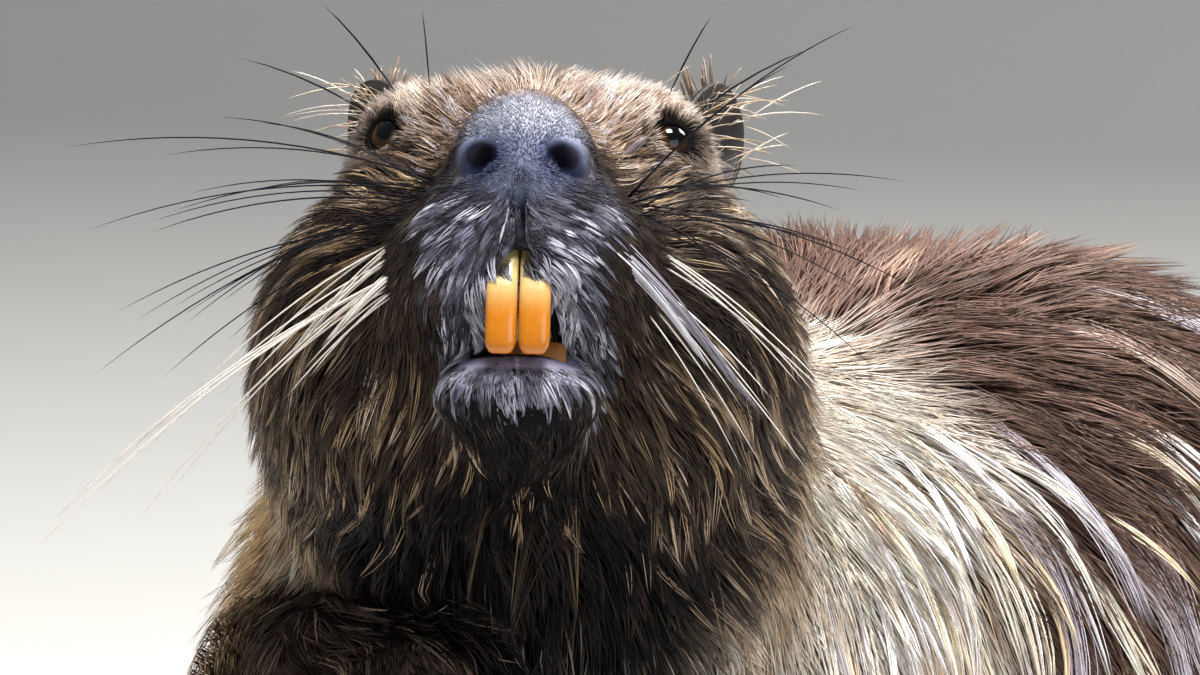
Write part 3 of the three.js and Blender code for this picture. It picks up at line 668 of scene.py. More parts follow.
def hairLengths(h, zone, paws, arm, raised):
    length = np.interp(h[:, 1], [0, 8, 14, 30, 50, 85, 125, 170], [5, 7, 8.5, 10.5, 13, 14.5, 19, 22])
    length *= 1 - 0.55 * within(h, (0, 14, 9), (15, 20, 12), 0.3)
    length *= 1 + 0.22 * ramp(h[:, 1], 24, 45) * (1 - ramp(h[:, 2], 0, 16)) * zone["head"]
    length *= 1 - 0.3 * ramp(h[:, 2], 2, 22) * zone["head"]
    length *= 1 - 0.8 * within(h, (0, 4, -15), (5.5, 9, 6), 0.4)
    for side in (1, -1):
        length *= 1 - 0.7 * (1 - ramp(fromEye(h, side), 6.8, 15))
    length = np.where(zone["chin"] > 0.5, np.maximum(length, 15), length)
    length = mix(length, 3.0, zone["lipFringe"])
    length = mix(length, 1.1, zone["nose"])
    length = mix(length, 20, zone["belly"])
    length = mix(length, 12, arm)
    return mix(length, np.where(raised, 6.5, 3.4), paws)


def hairColours(p, h, zone, paws, arm, dice):  # at the root, half way and at the tip
    head = zone["head"]
    chance = dice.random(len(p))
    grain = ripple(p, 11, 3) * 0.4 + dice.normal(size=len(p)) * 0.75
    # Fewer pale tips over the lower cheeks: painted shade.
    shadedCheeks = head * (1 - ramp(h[:, 2], 2, 12)) * (1 - zone["muzzle"])
    pale = ramp(grain - 0.6 * shadedCheeks, 0.4, 1.4)
    tones = {
        "root": mix(hue["pitch"], hue["umber"], np.full(len(p), 0.2)),
        "middle": mix(mix(hue["soot"], hue["umber"], 0.3), mix(hue["chestnut"], hue["straw"], 0.3), pale),
        "tip": mix(mix(hue["umber"], hue["chestnut"], 0.1), hue["straw"], pale),
    }

    def lay(share, **given):
        for part, tone in given.items():
            tones[part] = mix(tones[part], tone, share)

    slate = np.array(hue["slate"])
    lay(zone["muzzle"], root=slate * 0.4, middle=mix(slate * 0.6, hue["ash"], pale ** 1.5),
        tip=mix(slate * 1.2, hue["silver"], pale))
    crown = ramp(h[:, 2], 8, 20) * head
    streaked = ramp(grain + 0.5 * ripple(h * (1, 0.3, 0.6), 5, 91), -0.8, 0.3)
    lay(crown, middle=mix(hue["umber"], mix(hue["chestnut"], hue["straw"], 0.6), streaked),
        tip=mix(hue["chestnut"], mix(hue["straw"], hue["frost"], 0.35), streaked))
    lay(zone["bridge"] * 0.7, middle=mix(hue["umber"], hue["chestnut"], 0.8),
        tip=mix(hue["chestnut"], hue["gold"], pale * 0.6))
    sunned = ramp(grain + 0.3 * ripple(p, 9, 61), 0.35, 1.6)
    lay(1 - head, root=hue["umber"],
        middle=mix(mix(hue["umber"], hue["rosewood"], 0.25), hue["rosewood"], sunned),
        tip=mix(mix(hue["umber"], hue["rosewood"], 0.6), hue["sand"], sunned))
    # The shoulders' honey and cream: partly the coat's own pale, partly a painted sunlit highlight.
    mantle = zone["mantle"] * (0.5 + 0.5 * ramp(grain, -1.0, 0.2))
    lay(mantle * 0.8, root=hue["gold"])
    lay(mantle, middle=mix(hue["honey"], hue["cream"], ramp(grain, -0.6, 0.6)),
        tip=mix(hue["honey"], hue["cream"], ramp(grain, -1.1, -0.1)))
    light = ramp(grain, -0.2, 0.8)
    lay(zone["nape"] * 0.75, middle=mix(hue["chestnut"], hue["amber"], light),
        tip=mix(hue["amber"], hue["honey"], light))
    lay(zone["tan"], middle=mix(hue["gold"], hue["amber"], light), tip=mix(hue["amber"], hue["honey"], light))
    # Chin, throat and chest near black: partly the dark fur, partly painted shade under the head.
    dark = np.maximum(zone["chin"], zone["chest"] * 0.9 * (1 - zone["tan"]))
    spare = (chance < 0.1) * 0.8 * ramp(-h[:, 2], 40, 60)
    lay(dark, root=hue["pitch"])
    lay(dark * (1 - spare * 0.5), middle=mix(hue["pitch"], hue["soot"], 0.4))
    lay(dark * (1 - spare), tip=mix(hue["pitch"], hue["soot"], 0.8))
    fringe = zone["lipFringe"] * (1 - zone["lip"])
    blotch = ramp(ripple(h, 6, 71) + 0.5 * grain, -0.6, 0.7)
    lay(fringe, middle=mix(hue["slate"], hue["silver"], 0.15 + 0.85 * blotch),
        tip=mix(hue["ash"], hue["frost"], blotch))
    brown = np.array(hue["umber"]) * (0.6 + 1.8 * pale)[:, None]
    # The hair on the nose: its own grey, paler on top as painted reflection, darker below and round the
    # nostrils as painted shade.
    leather = np.array(hue["nose"]) * (0.6 + 0.6 * pale)[:, None]
    leather = mix(leather, leather * (0.44, 0.47, 0.62), ramp(-h[:, 2], -8, -1))
    leather = mix(leather, leather * (0.30, 0.34, 0.48), nostrilRim(h))
    for share, tone in ((paws, brown), (arm * 0.8, brown), (zone["nose"], leather)):
        lay(share, root=tone * 0.6, middle=tone * 0.9, tip=tone * 1.25)
    for side in (1, -1):
        lay(1 - ramp(fromEye(h, side), 5.4, 7.2), root=hue["pitch"], middle=hue["pitch"], tip=hue["soot"])
    belly = zone["belly"] * 0.6
    lay(belly * 0.5, middle=hue["ash"])
    lay(belly, tip=hue["gold"])
    return tones


def coatPlan(p, dice):
    h = headPlace(p)
    zone = zones(p, h)
    paws, tailSkin, arm = bareness(p)
    raised = np.linalg.norm(p - wrist["right"], axis=1) < 46
    length = hairLengths(h, zone, paws, arm, raised)
    width = np.interp(length, [1.3, 4, 9, 17, 29], [0.2, 0.3, 0.38, 0.48, 0.72])
    density = 1 / (length * width * tuftFullness)  # tufts for each square millimetre in one layer
    density *= 1 - 0.97 * np.maximum(zone["lip"], tailSkin)
    density *= 1 - (0.9 - 0.6 * raised) * paws
    density *= 1 - 0.6 * zone["nose"]
    density *= 1 - 0.45 * zone["belly"] * (1 - paws)
    depth = mix(mix(coatDepth(p, h), 2.6, arm), 0.7, paws)
    return {"h": h, "zone": zone, "length": length, "width": width, "depth": depth, "density": density,
            "paws": paws, "tail": tailSkin, "arm": arm, **hairColours(p, h, zone, paws, arm, dice)}


# The way the coat lies

def lieOf(p, normals):
    h = headPlace(p)
    nose = unit(h - (0, -9, -3))
    below = unit(h - (0, 2, -34) + (0, 0, -6))
    onHead = mix(nose, below, ramp(-h[:, 2], 30, 42))
    onHead = onHead @ headTurn.T
    drop = 1.4 * ramp(h[:, 1], 12, 45) * (1 - 0.85 * ramp(h[:, 2], 4, 22))
    drop *= 1 - 0.3 * ramp(-h[:, 2], 20, 50)
    drop += 0.8 * ramp(-h[:, 2], 5, 12) * (1 - ramp(h[:, 1], 12, 30))
    aside = np.clip(h[:, 0] / 4, -1, 1) * ramp(-h[:, 2], 3, 9) * (1 - ramp(-h[:, 2], 18, 30))
    aside *= 1 - ramp(h[:, 1], 12, 26)
    onHead = onHead + aside[:, None] * headTurn[:, 0]
    part = 1.3 * np.clip(h[:, 0] / 9, -1, 1) * ramp(h[:, 2], 10, 24) * ramp(h[:, 1], 16, 34)
    onHead = unit(onHead + np.stack([0 * drop, 0.5 * drop, -drop], 1) + part[:, None] * headTurn[:, 0])
    fall = np.interp(p[:, 1], chestFront + np.array([0, 90, 200, 330]), [2.6, 2.9, 1.7, 0.9])
    b = p - bodyAt
    spread = np.clip((b[:, 0] - 2) / 26, -1, 1) * np.interp(b[:, 1], [-110, 30, 220], [0.7, 0.9, 0.7])
    backwards = 1 - 1.35 * (1 - ramp(b[:, 1], 30, 110)) * (1 - ramp(b[:, 2], 110, 132))
    onBody = unit(np.stack([spread, backwards, -fall * np.interp(p[:, 2], [60, 150], [1.25, 1.0])], 1))
    inward = -0.45 * np.clip(h[:, 0] / 25, -1, 1)
    chest = unit(np.stack([inward, 0.25 + 0 * fall, -1 + 0 * fall], 1))
    before = (1 - ramp(p[:, 1], chestFront + 20, chestFront + 70)) * (1 - ramp(p[:, 2], 90, 130))
    onBody = mix(onBody, chest, before)
    way = mix(onHead, onBody, ramp(h[:, 1], 72, 106))
    for side in (1, -1):  # round the eyes
        near = 0.8 * (1 - ramp(fromEye(h, side), 7, 11))
        way = mix(way, unit(h - eyePlace(side)) @ headTurn.T, near)
    for name in bothSides:
        axis = unit(wrist[name] - elbow[name])
        q = p - elbow[name]
        off = np.linalg.norm(q - np.clip(q @ axis, 0, 60)[:, None] * axis, axis=1)
        way = mix(way, axis, 1 - ramp(off, 15, 21))
    for name, (at, turn) in footFrames.items():
        q = (p - at) @ turn
        onFoot = (1 - ramp(np.abs(q[:, 0]), 20, 26)) * (1 - ramp(q[:, 1], 2, 12)) * (q[:, 1] > -160)
        way = mix(way, turn @ (0, -1, -0.15), onFoot * (1 - ramp(np.abs(q[:, 2]), 16, 22)))
    swirl = ripple(p, 34, 11) * 0.22
    way = way - normals * dot(way, normals)[:, None]
    return unit(way + np.cross(normals, way) * swirl[:, None])


def combed(roots, normals, lengths, depths, steps, rise, dice, wander=0.16):
    paths, outs = [roots - normals * 0.3], [normals]
    p, n = roots, normals
    stray = dice.normal(size=len(p)) * wander
    for step in range(1, steps + 1):
        way = lieOf(p, n)
        way = way + np.cross(n, way) * stray[:, None]
        p = p + way * (lengths / steps)[:, None]
        d = outlineAt(p.astype(np.float32))
        n = unit(slopeAt(outlineAt, p.astype(np.float32), d))
        wanted = -depths * (1 - rise * step / steps)
        p = p + n * (wanted - d)[:, None]
        p[:, 2] = np.maximum(p[:, 2], 0.4)
        paths.append(p)
        outs.append(n)
    return np.stack(paths, 1), np.stack(outs, 1)


def gathered(paths, spacing, pull, dice):  # wet hairs run together into points
    roots = paths[:, 0]
    leaders = np.flatnonzero(dice.random(len(roots)) < np.minimum(spacing, 1))
    if len(leaders) < 2:
        return paths, np.arange(len(paths))
    tree = kdtree.KDTree(len(leaders))
    for n, place in enumerate(roots[leaders].tolist()):
        tree.insert(place, n)
    tree.balance()
    follows = leaders[[tree.find(place)[1] for place in roots.tolist()]]
    share = np.linspace(0, 1, paths.shape[1])[None, :, None]
    beside = (roots - roots[follows])[:, None, :] * (1 - 0.8 * share)
    target = paths[follows] + beside
    return paths + (target - paths) * share ** 1.2 * pull[:, None, None], follows


# Strands: thin closed spikes, three-sided, joined into one mesh for each part of the coat

def makeObject(name, verts, loops, sizes, materials, smooth=True):
    mesh = bpy.data.meshes.new(name)
    mesh.vertices.add(len(verts))
    mesh.vertices.foreach_set("co", (np.asarray(verts) * mm).astype(np.float32).ravel())
    mesh.loops.add(len(loops))
    mesh.loops.foreach_set("vertex_index", np.asarray(loops, np.int32))
    mesh.polygons.add(len(sizes))
    starts = np.concatenate([[0], np.cumsum(sizes)[:-1]]).astype(np.int32)
    mesh.polygons.foreach_set("loop_start", starts)
    mesh.polygons.foreach_set("use_smooth", np.full(len(sizes), smooth))
    mesh.update(calc_edges=True)
    for each in materials:
        mesh.materials.append(each)
    piece = bpy.data.objects.new(name, mesh)
    scene.collection.objects.link(piece)
    return piece


def paint(piece, name, colours):
    layer = piece.data.attributes.new(name, "FLOAT_COLOR", "POINT")
    if colours.shape[1] == 3:
        colours = np.concatenate([colours, np.ones((len(colours), 1))], 1)
    layer.data.foreach_set("color", colours.astype(np.float32).ravel())


def mark(piece, name, values):
    layer = piece.data.attributes.new(name, "FLOAT", "POINT")
    layer.data.foreach_set("value", np.asarray(values, np.float32))


def directions(lines):
    along = np.empty_like(lines)
    along[:, 1:-1] = lines[:, 2:] - lines[:, :-2]
    along[:, 0] = lines[:, 1] - lines[:, 0]
    along[:, -1] = lines[:, -1] - lines[:, -2]
    return unit(along)


def strandShape(paths, outs, halfWidths, flat=0.7):
    along = directions(paths)
    across = unit(np.cross(along, outs))
    over = np.cross(across, along)
    rings = paths.shape[1] - 1
    wide = (across * halfWidths[:, :, None])[:, :rings]
    high = (over * halfWidths[:, :, None])[:, :rings] * flat
    body = np.stack([paths[:, :rings] + wide, paths[:, :rings] + high, paths[:, :rings] - wide], 2)
    return np.concatenate([body.reshape(len(paths), -1, 3), paths[:, -1:]], 1)


def ringQuads(rows, count):  # the faces between rows of points, each row a closed ring
    steps = [(n, (n + 1) % count) for n in range(count)]
    return [[k * count + n, k * count + m, (k + 1) * count + m, (k + 1) * count + n]
            for k in range(rows - 1) for n, m in steps]


def spikePattern(rings, sides=3):  # a flat foot, the faces between the rings and a point
    faces = [list(range(sides))[::-1]] + ringQuads(rings, sides)
    last = (rings - 1) * sides
    faces += [[last + n, last + (n + 1) % sides, rings * sides] for n in range(sides)]
    return np.array(sum(faces, [])), np.array([len(face) for face in faces])


def drumPattern(rows, count, turned=False):  # rings with a flat face at each end
    faces = ringQuads(rows, count) + [list(range(count))[::-1], list(range((rows - 1) * count, rows * count))]
    faces = [face[::-1] for face in faces] if turned else faces
    return sum(faces, []), [len(face) for face in faces]


def repeated(loops, count, step):  # the same faces for each of many pieces of one mesh
    return (loops[None, :] + np.arange(count)[:, None] * step).ravel()


patchSize = 0.0015  # half of a tuft's patch on its unwrap


def makeStrands(name, paths, outs, widths, tints, materials, unwrapped, taper=(0.8, 1.0)):
    count, rings = len(paths), paths.shape[1] - 1
    shape = np.interp(np.linspace(0, 1, rings + 1), [0, 0.35, 0.8, 1], [taper[0], taper[1], 0.62, 0.1])
    verts = strandShape(paths, outs, widths[:, None] * 0.5 * shape[None, :])
    loops, sizes = spikePattern(rings)
    allLoops = repeated(loops, count, rings * 3 + 1)
    piece = makeObject(name, verts.reshape(-1, 3), allLoops, np.tile(sizes, count), materials)
    share = np.concatenate([np.repeat(np.arange(rings), 3), [rings]])
    paint(piece, "tint", tints[:, share].reshape(-1, tints.shape[2]))
    aside = np.concatenate([np.tile([1.0, 0.0, -1.0], rings), [0.0]])
    forward = share / rings * 2 - 1 - 0.25 * (aside == 0)
    patch = np.stack([aside, forward], 1) * patchSize
    places = (unwrapped[:, None, :] + patch[None, :, :]).reshape(-1, 2)
    layer = piece.data.uv_layers.new(name="OFBake", do_init=False)
    layer.uv.foreach_set("vector", places[allLoops].astype(np.float32).ravel())
    return piece


def unwrap(p, centre, axis):  # round the axis and along it, spread over the unit square
    axis = unit(np.array(axis, float))
    side = unit(np.cross(axis, (0, 0, 1) if abs(axis[2]) < 0.9 else (1, 0, 0)))
    q = p - centre
    around = np.arctan2(q @ np.cross(axis, side), q @ side)
    order = np.sort(around)
    gaps = np.diff(np.append(order, order[0] + 2 * math.pi))
    start = order[(np.argmax(gaps) + 1) % len(order)]
    made = np.stack([(around - start) % (2 * math.pi), q @ axis], 1)
    made -= made.min(0)
    return 0.01 + 0.98 * made / np.maximum(made.max(0), 1e-6)


# Shader groups shared by the finishes

def makeGroup(name, inputs, outputs, build):
    group = bpy.data.node_groups.new(name, "ShaderNodeTree")
    for label, kind, value in inputs:
        socket = group.interface.new_socket(label, in_out="INPUT", socket_type=kind)
        if value is not None:
            socket.default_value = value
    for label, kind in outputs:
        group.interface.new_socket(label, in_out="OUTPUT", socket_type=kind)
    build(Tree(group), group.nodes.new("NodeGroupInput"), group.nodes.new("NodeGroupOutput"))
    return group


class Tree:  # a short way to add and join nodes
    def __init__(self, tree):
        self.tree = tree

    def join(self, out, into):
        self.tree.links.new(out, into)

    def give(self, value, socket):  # a link from another node, or a fixed value
        if isinstance(value, bpy.types.NodeSocket):
            self.join(value, socket)
        elif value is not None:
            socket.default_value = value

    def node(self, kind, **given):
        node = self.tree.nodes.new(kind)
        for key, value in given.items():
            if hasattr(node, key):
                setattr(node, key, value)
            else:
                self.give(value, node.inputs[key.replace("_", " ")])
        return node

    def add(self, kind, **given):
        return self.node("ShaderNode" + kind, **given)

    def maths(self, operation, a, b=0.5, third=None):
        node = self.add("Math", operation=operation)
        for n, value in enumerate((a, b, third)):
            self.give(value, node.inputs[n])
        return node.outputs[0]

    def blend(self, share, a, b, how="MIX"):
        node = self.add("Mix", data_type="RGBA", blend_type=how)
        self.give(share, node.inputs[0])
        for n, value in ((6, a), (7, b)):
            self.give(value if isinstance(value, bpy.types.NodeSocket) else (*value, 1), node.inputs[n])
        return node.outputs[2]


def buildMottle(t, given, out):
    place = t.add("TexCoord").outputs["Object"]
    cloud = t.add("TexNoise", Vector=place, Scale=given.outputs["Scale"], Detail=4.0, Roughness=0.6)
    share = t.maths("MULTIPLY_ADD", cloud.outputs["Fac"], 2.0, -1.0)
    share = t.maths("MULTIPLY", share, given.outputs["Amount"])
    light = t.maths("ADD", share, 1.0)
    tint = t.add("HueSaturation", Color=given.outputs["Colour"], Value=light)
    t.join(tint.outputs[0], out.inputs["Colour"])
    t.join(cloud.outputs["Fac"], out.inputs["Cloud"])


def buildPebbles(t, given, out):  # small flat grains with creases between them
    place = t.add("TexCoord").outputs["Object"]
    bent = t.add("TexNoise", Vector=place, Scale=given.outputs["Scale"], Detail=2.0)
    shift = t.add("VectorMath", operation="MULTIPLY_ADD")
    t.join(bent.outputs["Color"], shift.inputs[0])
    shift.inputs[1].default_value = (0.0008, 0.0008, 0.0008)
    t.join(place, shift.inputs[2])
    cells = t.add("TexVoronoi", feature="DISTANCE_TO_EDGE", Vector=shift.outputs[0],
                  Scale=given.outputs["Scale"])
    edge = t.maths("MULTIPLY", cells.outputs["Distance"], 3.2)
    height = t.maths("MINIMUM", edge, 1.0)
    fine = t.add("TexNoise", Vector=place, Scale=given.outputs["Scale"], Detail=6.0, Roughness=0.7)
    both = t.maths("MULTIPLY_ADD", fine.outputs["Fac"], 0.5, height)
    bump = t.add("Bump", Height=both, Strength=given.outputs["Strength"], Distance=0.0006)
    t.join(bump.outputs["Normal"], out.inputs["Normal"])
    t.join(height, out.inputs["Grain"])


colour, number, direction = "NodeSocketColor", "NodeSocketFloat", "NodeSocketVector"
softMottle = makeGroup("softMottle",
                       [("Colour", colour, None), ("Scale", number, 60), ("Amount", number, 0.2)],
                       [("Colour", colour), ("Cloud", number)], buildMottle)
pebbledSkin = makeGroup("pebbledSkin", [("Scale", number, 700), ("Strength", number, 0.5)],
                        [("Normal", direction), ("Grain", number)], buildPebbles)


def finish(name, **fixed):  # a material with its shader's constant values set
    material = bpy.data.materials.new(name)
    material.use_nodes = True
    shader = material.node_tree.nodes["Principled BSDF"]
    for key, value in fixed.items():
        shader.inputs[key.replace("_", " ")].default_value = value
    return material, Tree(material.node_tree), shader


def addGroup(t, group, **given):
    return t.add("Group", node_tree=group, **given)


def addTint(t, scale, amount):  # the painted colour, a little uneven
    tint = t.add("Attribute", attribute_name="tint")
    return tint, addGroup(t, softMottle, Colour=tint.outputs["Color"], Scale=scale, Amount=amount)


def sheenOf(t, tint, gain):  # dark hair shines less
    return t.maths("MINIMUM", t.maths("MULTIPLY_ADD", tint.outputs["Fac"], gain, 0.12), 1.0)


def makeSkinFinish():
    material, t, shader = finish("coypuSkin")
    tint, mottle = addTint(t, 420, 0.35)
    t.join(t.maths("MULTIPLY", sheenOf(t, tint, 6.0), 0.28), shader.inputs["Specular IOR Level"])
    bare = t.add("Attribute", attribute_name="bare").outputs["Fac"]
    wet = t.add("Attribute", attribute_name="wet").outputs["Fac"]
    pebbles = addGroup(t, pebbledSkin, Scale=1500, Strength=0.3)
    # Bare skin darker in the creases between its grains: painted shade.
    darker = t.maths("MULTIPLY_ADD", pebbles.outputs["Grain"], 0.45, 0.6)
    grey = t.add("CombineColor", Red=darker, Green=darker, Blue=darker).outputs[0]
    creaseShade = t.blend(bare, (1, 1, 1), grey)
    t.join(t.blend(1.0, mottle.outputs["Colour"], creaseShade, "MULTIPLY"), shader.inputs["Base Color"])
    rough = t.maths("MULTIPLY_ADD", bare, -0.3, 0.82)
    rough = t.maths("MULTIPLY_ADD", wet, -0.3, rough)
    t.join(rough, shader.inputs["Roughness"])
    place = t.add("TexCoord").outputs["Object"]
    hair = t.add("TexNoise", Vector=place, Scale=1500.0, Detail=3.0)
    bump = t.add("Bump", Height=hair.outputs["Fac"], Strength=0.35, Distance=0.0006)
    normal = t.add("Mix", data_type="VECTOR")
    t.join(bare, normal.inputs[0])
    t.join(bump.outputs[0], normal.inputs[4])
    t.join(pebbles.outputs["Normal"], normal.inputs[5])
    t.join(normal.outputs[1], shader.inputs["Normal"])
    return material


def makeFurFinish(name, gloss, scale=520, wetness=0.0):
    material, t, shader = finish(name, Coat_Roughness=0.2)
    tint, mottle = addTint(t, scale, 0.3)
    t.join(mottle.outputs["Colour"], shader.inputs["Base Color"])
    sheen = sheenOf(t, tint, 3.5)
    t.join(t.maths("MULTIPLY", sheen, 0.36), shader.inputs["Specular IOR Level"])
    t.join(t.maths("MULTIPLY", sheen, wetness), shader.inputs["Coat Weight"])
    rough = t.maths("MULTIPLY_ADD", mottle.outputs["Cloud"], 0.3, gloss - 0.15)
    t.join(rough, shader.inputs["Roughness"])
    return material


coypuSkin = makeSkinFinish()
guardHair = makeFurFinish("guardHair", 0.42, wetness=0.12)
faceHair = makeFurFinish("faceHair", 0.42, wetness=0.12)
wetLockHair = makeFurFinish("wetLockHair", 0.3, wetness=0.45)

# Skin piece

def vertexNormals(verts, loops, sizes):
    starts = np.concatenate([[0], np.cumsum(sizes)[:-1]])
    a, b, c, d = (verts[loops[starts + n]] for n in (0, 1, 2, 3))
    flat = np.cross(c - a, d - b)
    made = np.zeros((len(verts), 3))
    owner = np.repeat(np.arange(len(sizes)), sizes)
    for axis in range(3):
        made[:, axis] = np.bincount(loops, flat[owner, axis], len(verts))
    return unit(made), np.linalg.norm(flat, axis=1) / 2


skinDice = np.random.default_rng(5)
skinNormals, skinAreas = vertexNormals(skinVerts, skinLoops, skinSizes)
skinPlan = coatPlan(skinVerts.astype(float), skinDice)
report("coat planned over the skin")


# Painted light among these: the nose is paler on top as painted reflection and darker at its foot as painted
# shade, and the mouth and nostril tones are painted shade inside the openings.
skinTone = {"lipTop": (0.22, 0.20, 0.31), "lipFoot": (0.30, 0.30, 0.41), "noseLitTop": (0.46, 0.47, 0.57),
            "noseShadedFoot": (0.22, 0.25, 0.38), "mouth": (0.030, 0.012, 0.012), "nostril": (0.018, 0.016, 0.026),
            "lid": (0.004, 0.0035, 0.004), "paws": (0.13, 0.095, 0.085), "tail": (0.14, 0.105, 0.095)}


def skinTints():
    h, zone = skinPlan["h"], skinPlan["zone"]
    tint = mix(skinPlan["root"], skinPlan["middle"], 0.45)
    lip = mix(skinTone["lipTop"], skinTone["lipFoot"], ramp(-h[:, 2], 34.5, 39))
    # The nose pad: its own grey, paler on top as painted reflection, darker at its foot and round the
    # nostrils as painted shade.
    pad = mix(skinTone["noseLitTop"], skinTone["noseShadedFoot"], ramp(-h[:, 2], -8, -2))
    pad = mix(pad, pad * (0.36, 0.40, 0.55), nostrilRim(h))
    tint = mix(tint, pad, zone["nose"])
    tint = mix(tint, lip, zone["lip"])
    # Painted shade inside the mouth.
    inside = (np.abs(h[:, 0]) < 9) & (h[:, 2] < -16.5) & (h[:, 2] > -35.5)
    tint = mix(tint, skinTone["mouth"], inside * ramp(h[:, 1], 2.5, 5))
    for side in (1, -1):
        # Painted shade in the nostril pits.
        pit = np.linalg.norm((h - (side * 7.6, 1.5, 0.8)) / (4.2, 4.2, 3.4), axis=1)
        tint = mix(tint, skinTone["nostril"], 1 - ramp(pit, 0.55, 0.95))
        q = (h - eyePlace(side)) @ gazeFrame(side)
        lid = np.sqrt(np.square((q[:, 1] + 0.6) / 5.8) + np.square((q[:, 2] - 0.3) / 5.6)) + (q[:, 0] < 0) * 3
        tint = mix(tint, skinTone["lid"], 1 - ramp(lid, 1.0, 1.35))
    tint = mix(tint, skinTone["paws"], skinPlan["paws"])
    tint = mix(tint, skinTone["tail"], skinPlan["tail"])
    bare = np.maximum(zone["nose"] * 0.7, zone["lip"] * 0.45)
    bare = np.maximum.reduce([bare, skinPlan["paws"] * 0.8, skinPlan["tail"]])
    wet = np.maximum(zone["lip"], zone["nose"] * 0.5)
    return tint, bare, wet


def makeSkin():
    piece = makeObject("skin", skinVerts, skinLoops, skinSizes, [coypuSkin])
    tint, bare, wet = skinTints()
    paint(piece, "tint", tint)
    mark(piece, "bare", bare)
    mark(piece, "wet", wet)
    claimed = ["head", "neck", "trunk", "tail_1", "tail_2", "tail_3"]
    claimed += [f"{part}_{side}" for part in ("haunch", "upper_arm", "forearm", "forefoot", "hindfoot")
                for side in bothSides]
    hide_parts(*claimed)
    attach(piece, "root")


makeSkin()
report("skin made")

# Eyes

def makeEyeFinish():
    material, t, shader = finish("darkEye", Roughness=0.1, Specular_IOR_Level=0.15, Coat_Weight=0.5,
                                 Coat_Roughness=0.02)
    mottle = addTint(t, 1400, 0.5)[1]
    t.join(mottle.outputs["Colour"], shader.inputs["Base Color"])
    return material


def lathe(outline, sides):  # (along, radius) rows turned about the first axis; both ends come to a point
    turn = np.arange(sides) * 2 * math.pi / sides
    ring = np.stack([np.cos(turn), np.sin(turn)], 1)
    verts = [[outline[0][0], 0, 0]]
    for along, radius in outline[1:-1]:
        verts += [[along, *(radius * spot)] for spot in ring]
    verts.append([outline[-1][0], 0, 0])
    loops, sizes = [], []
    for n in range(sides):
        m = (n + 1) % sides
        loops += [0, 1 + m, 1 + n]
        sizes.append(3)
        for k in range(len(outline) - 3):
            a, b = 1 + k * sides, 1 + (k + 1) * sides
            loops += [a + n, a + m, b + m, b + n]
            sizes.append(4)
        last = 1 + (len(outline) - 3) * sides
        loops += [last + n, last + m, len(verts) - 1]
        sizes.append(3)
    return np.array(verts), loops, sizes


darkEye = makeEyeFinish()
eyeball = {"pupil": 0.37, "iris": 0.82, "sides": 48, "rings": 40,  # angles from the gaze, in radians
           "pupilTone": (0.001, 0.001, 0.001), "irisTone": (0.045, 0.019, 0.006),
           "ringTone": (0.010, 0.006, 0.005), "whiteTone": (0.02, 0.014, 0.012)}


def makeEyes():
    for name, side in bothSides.items():
        gaze = gazeFrame(side)
        angles = math.pi * (np.linspace(0, 1, eyeball["rings"]) ** 1.3)
        bulge = 1 + 0.035 * np.exp(-np.square(angles / 0.75))
        outline = np.stack([np.cos(angles) * bulge, np.sin(angles) * bulge], 1) * (eye["radius"] - 0.05)
        verts, loops, sizes = lathe(outline, eyeball["sides"])
        off = np.arccos(np.clip(verts[:, 0] / np.linalg.norm(verts, axis=1), -1, 1))
        pupil, iris = eyeball["pupil"], eyeball["iris"]
        tint = mix(eyeball["pupilTone"], eyeball["irisTone"], ramp(off, pupil, pupil + 0.12))
        tint = mix(tint, eyeball["ringTone"], ramp(off, iris - 0.2, iris))
        tint = mix(tint, eyeball["whiteTone"], ramp(off, iris + 0.1, iris + 0.35))
        at = headPlace(boxCentre("eye_" + name)[None])[0]
        placed = fromHead(verts @ gaze.T + at)
        piece = makeObject(f"fine_eye_{name}", placed, loops, sizes, [darkEye])
        paint(piece, "tint", tint)
        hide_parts("eye_" + name)
        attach(piece, "root")


makeEyes()
report("eyes made")


# Ears: small round cups with a rolled rim

def makeBareFinish(name, wetness, scale):
    material, t, shader = finish(name, Specular_IOR_Level=0.45)
    mottle = addTint(t, 300, 0.3)[1]
    t.join(mottle.outputs["Colour"], shader.inputs["Base Color"])
    pebbles = addGroup(t, pebbledSkin, Scale=scale, Strength=0.22)
    t.join(pebbles.outputs["Normal"], shader.inputs["Normal"])
    rough = t.maths("MULTIPLY_ADD", pebbles.outputs["Grain"], -0.12, 0.62 - wetness)
    t.join(rough, shader.inputs["Roughness"])
    return material


earSkin = makeBareFinish("earSkin", 0.1, 1600)
ear = {"apart": 32.5, "behind": 95, "above": 33, "width": 19, "height": 25, "turn": 50, "sides": 56,
       "deepTone": (0.008, 0.007, 0.008), "rimTone": (0.030, 0.024, 0.025)}


def earFrame(side):
    inward = 3.2 if side < 0 else 0.6
    at = np.array((side * (ear["apart"] - inward), ear["behind"], ear["above"]))
    return turned(8, side * 10, side * ear["turn"]), at


def earRim(angle):  # half sizes round the ear, a little pointed behind
    wide, high = ear["width"] * 0.47, ear["height"] * 0.46
    return wide * np.cos(angle), high * np.sin(angle) * (1 + 0.04 * np.cos(3 * angle))


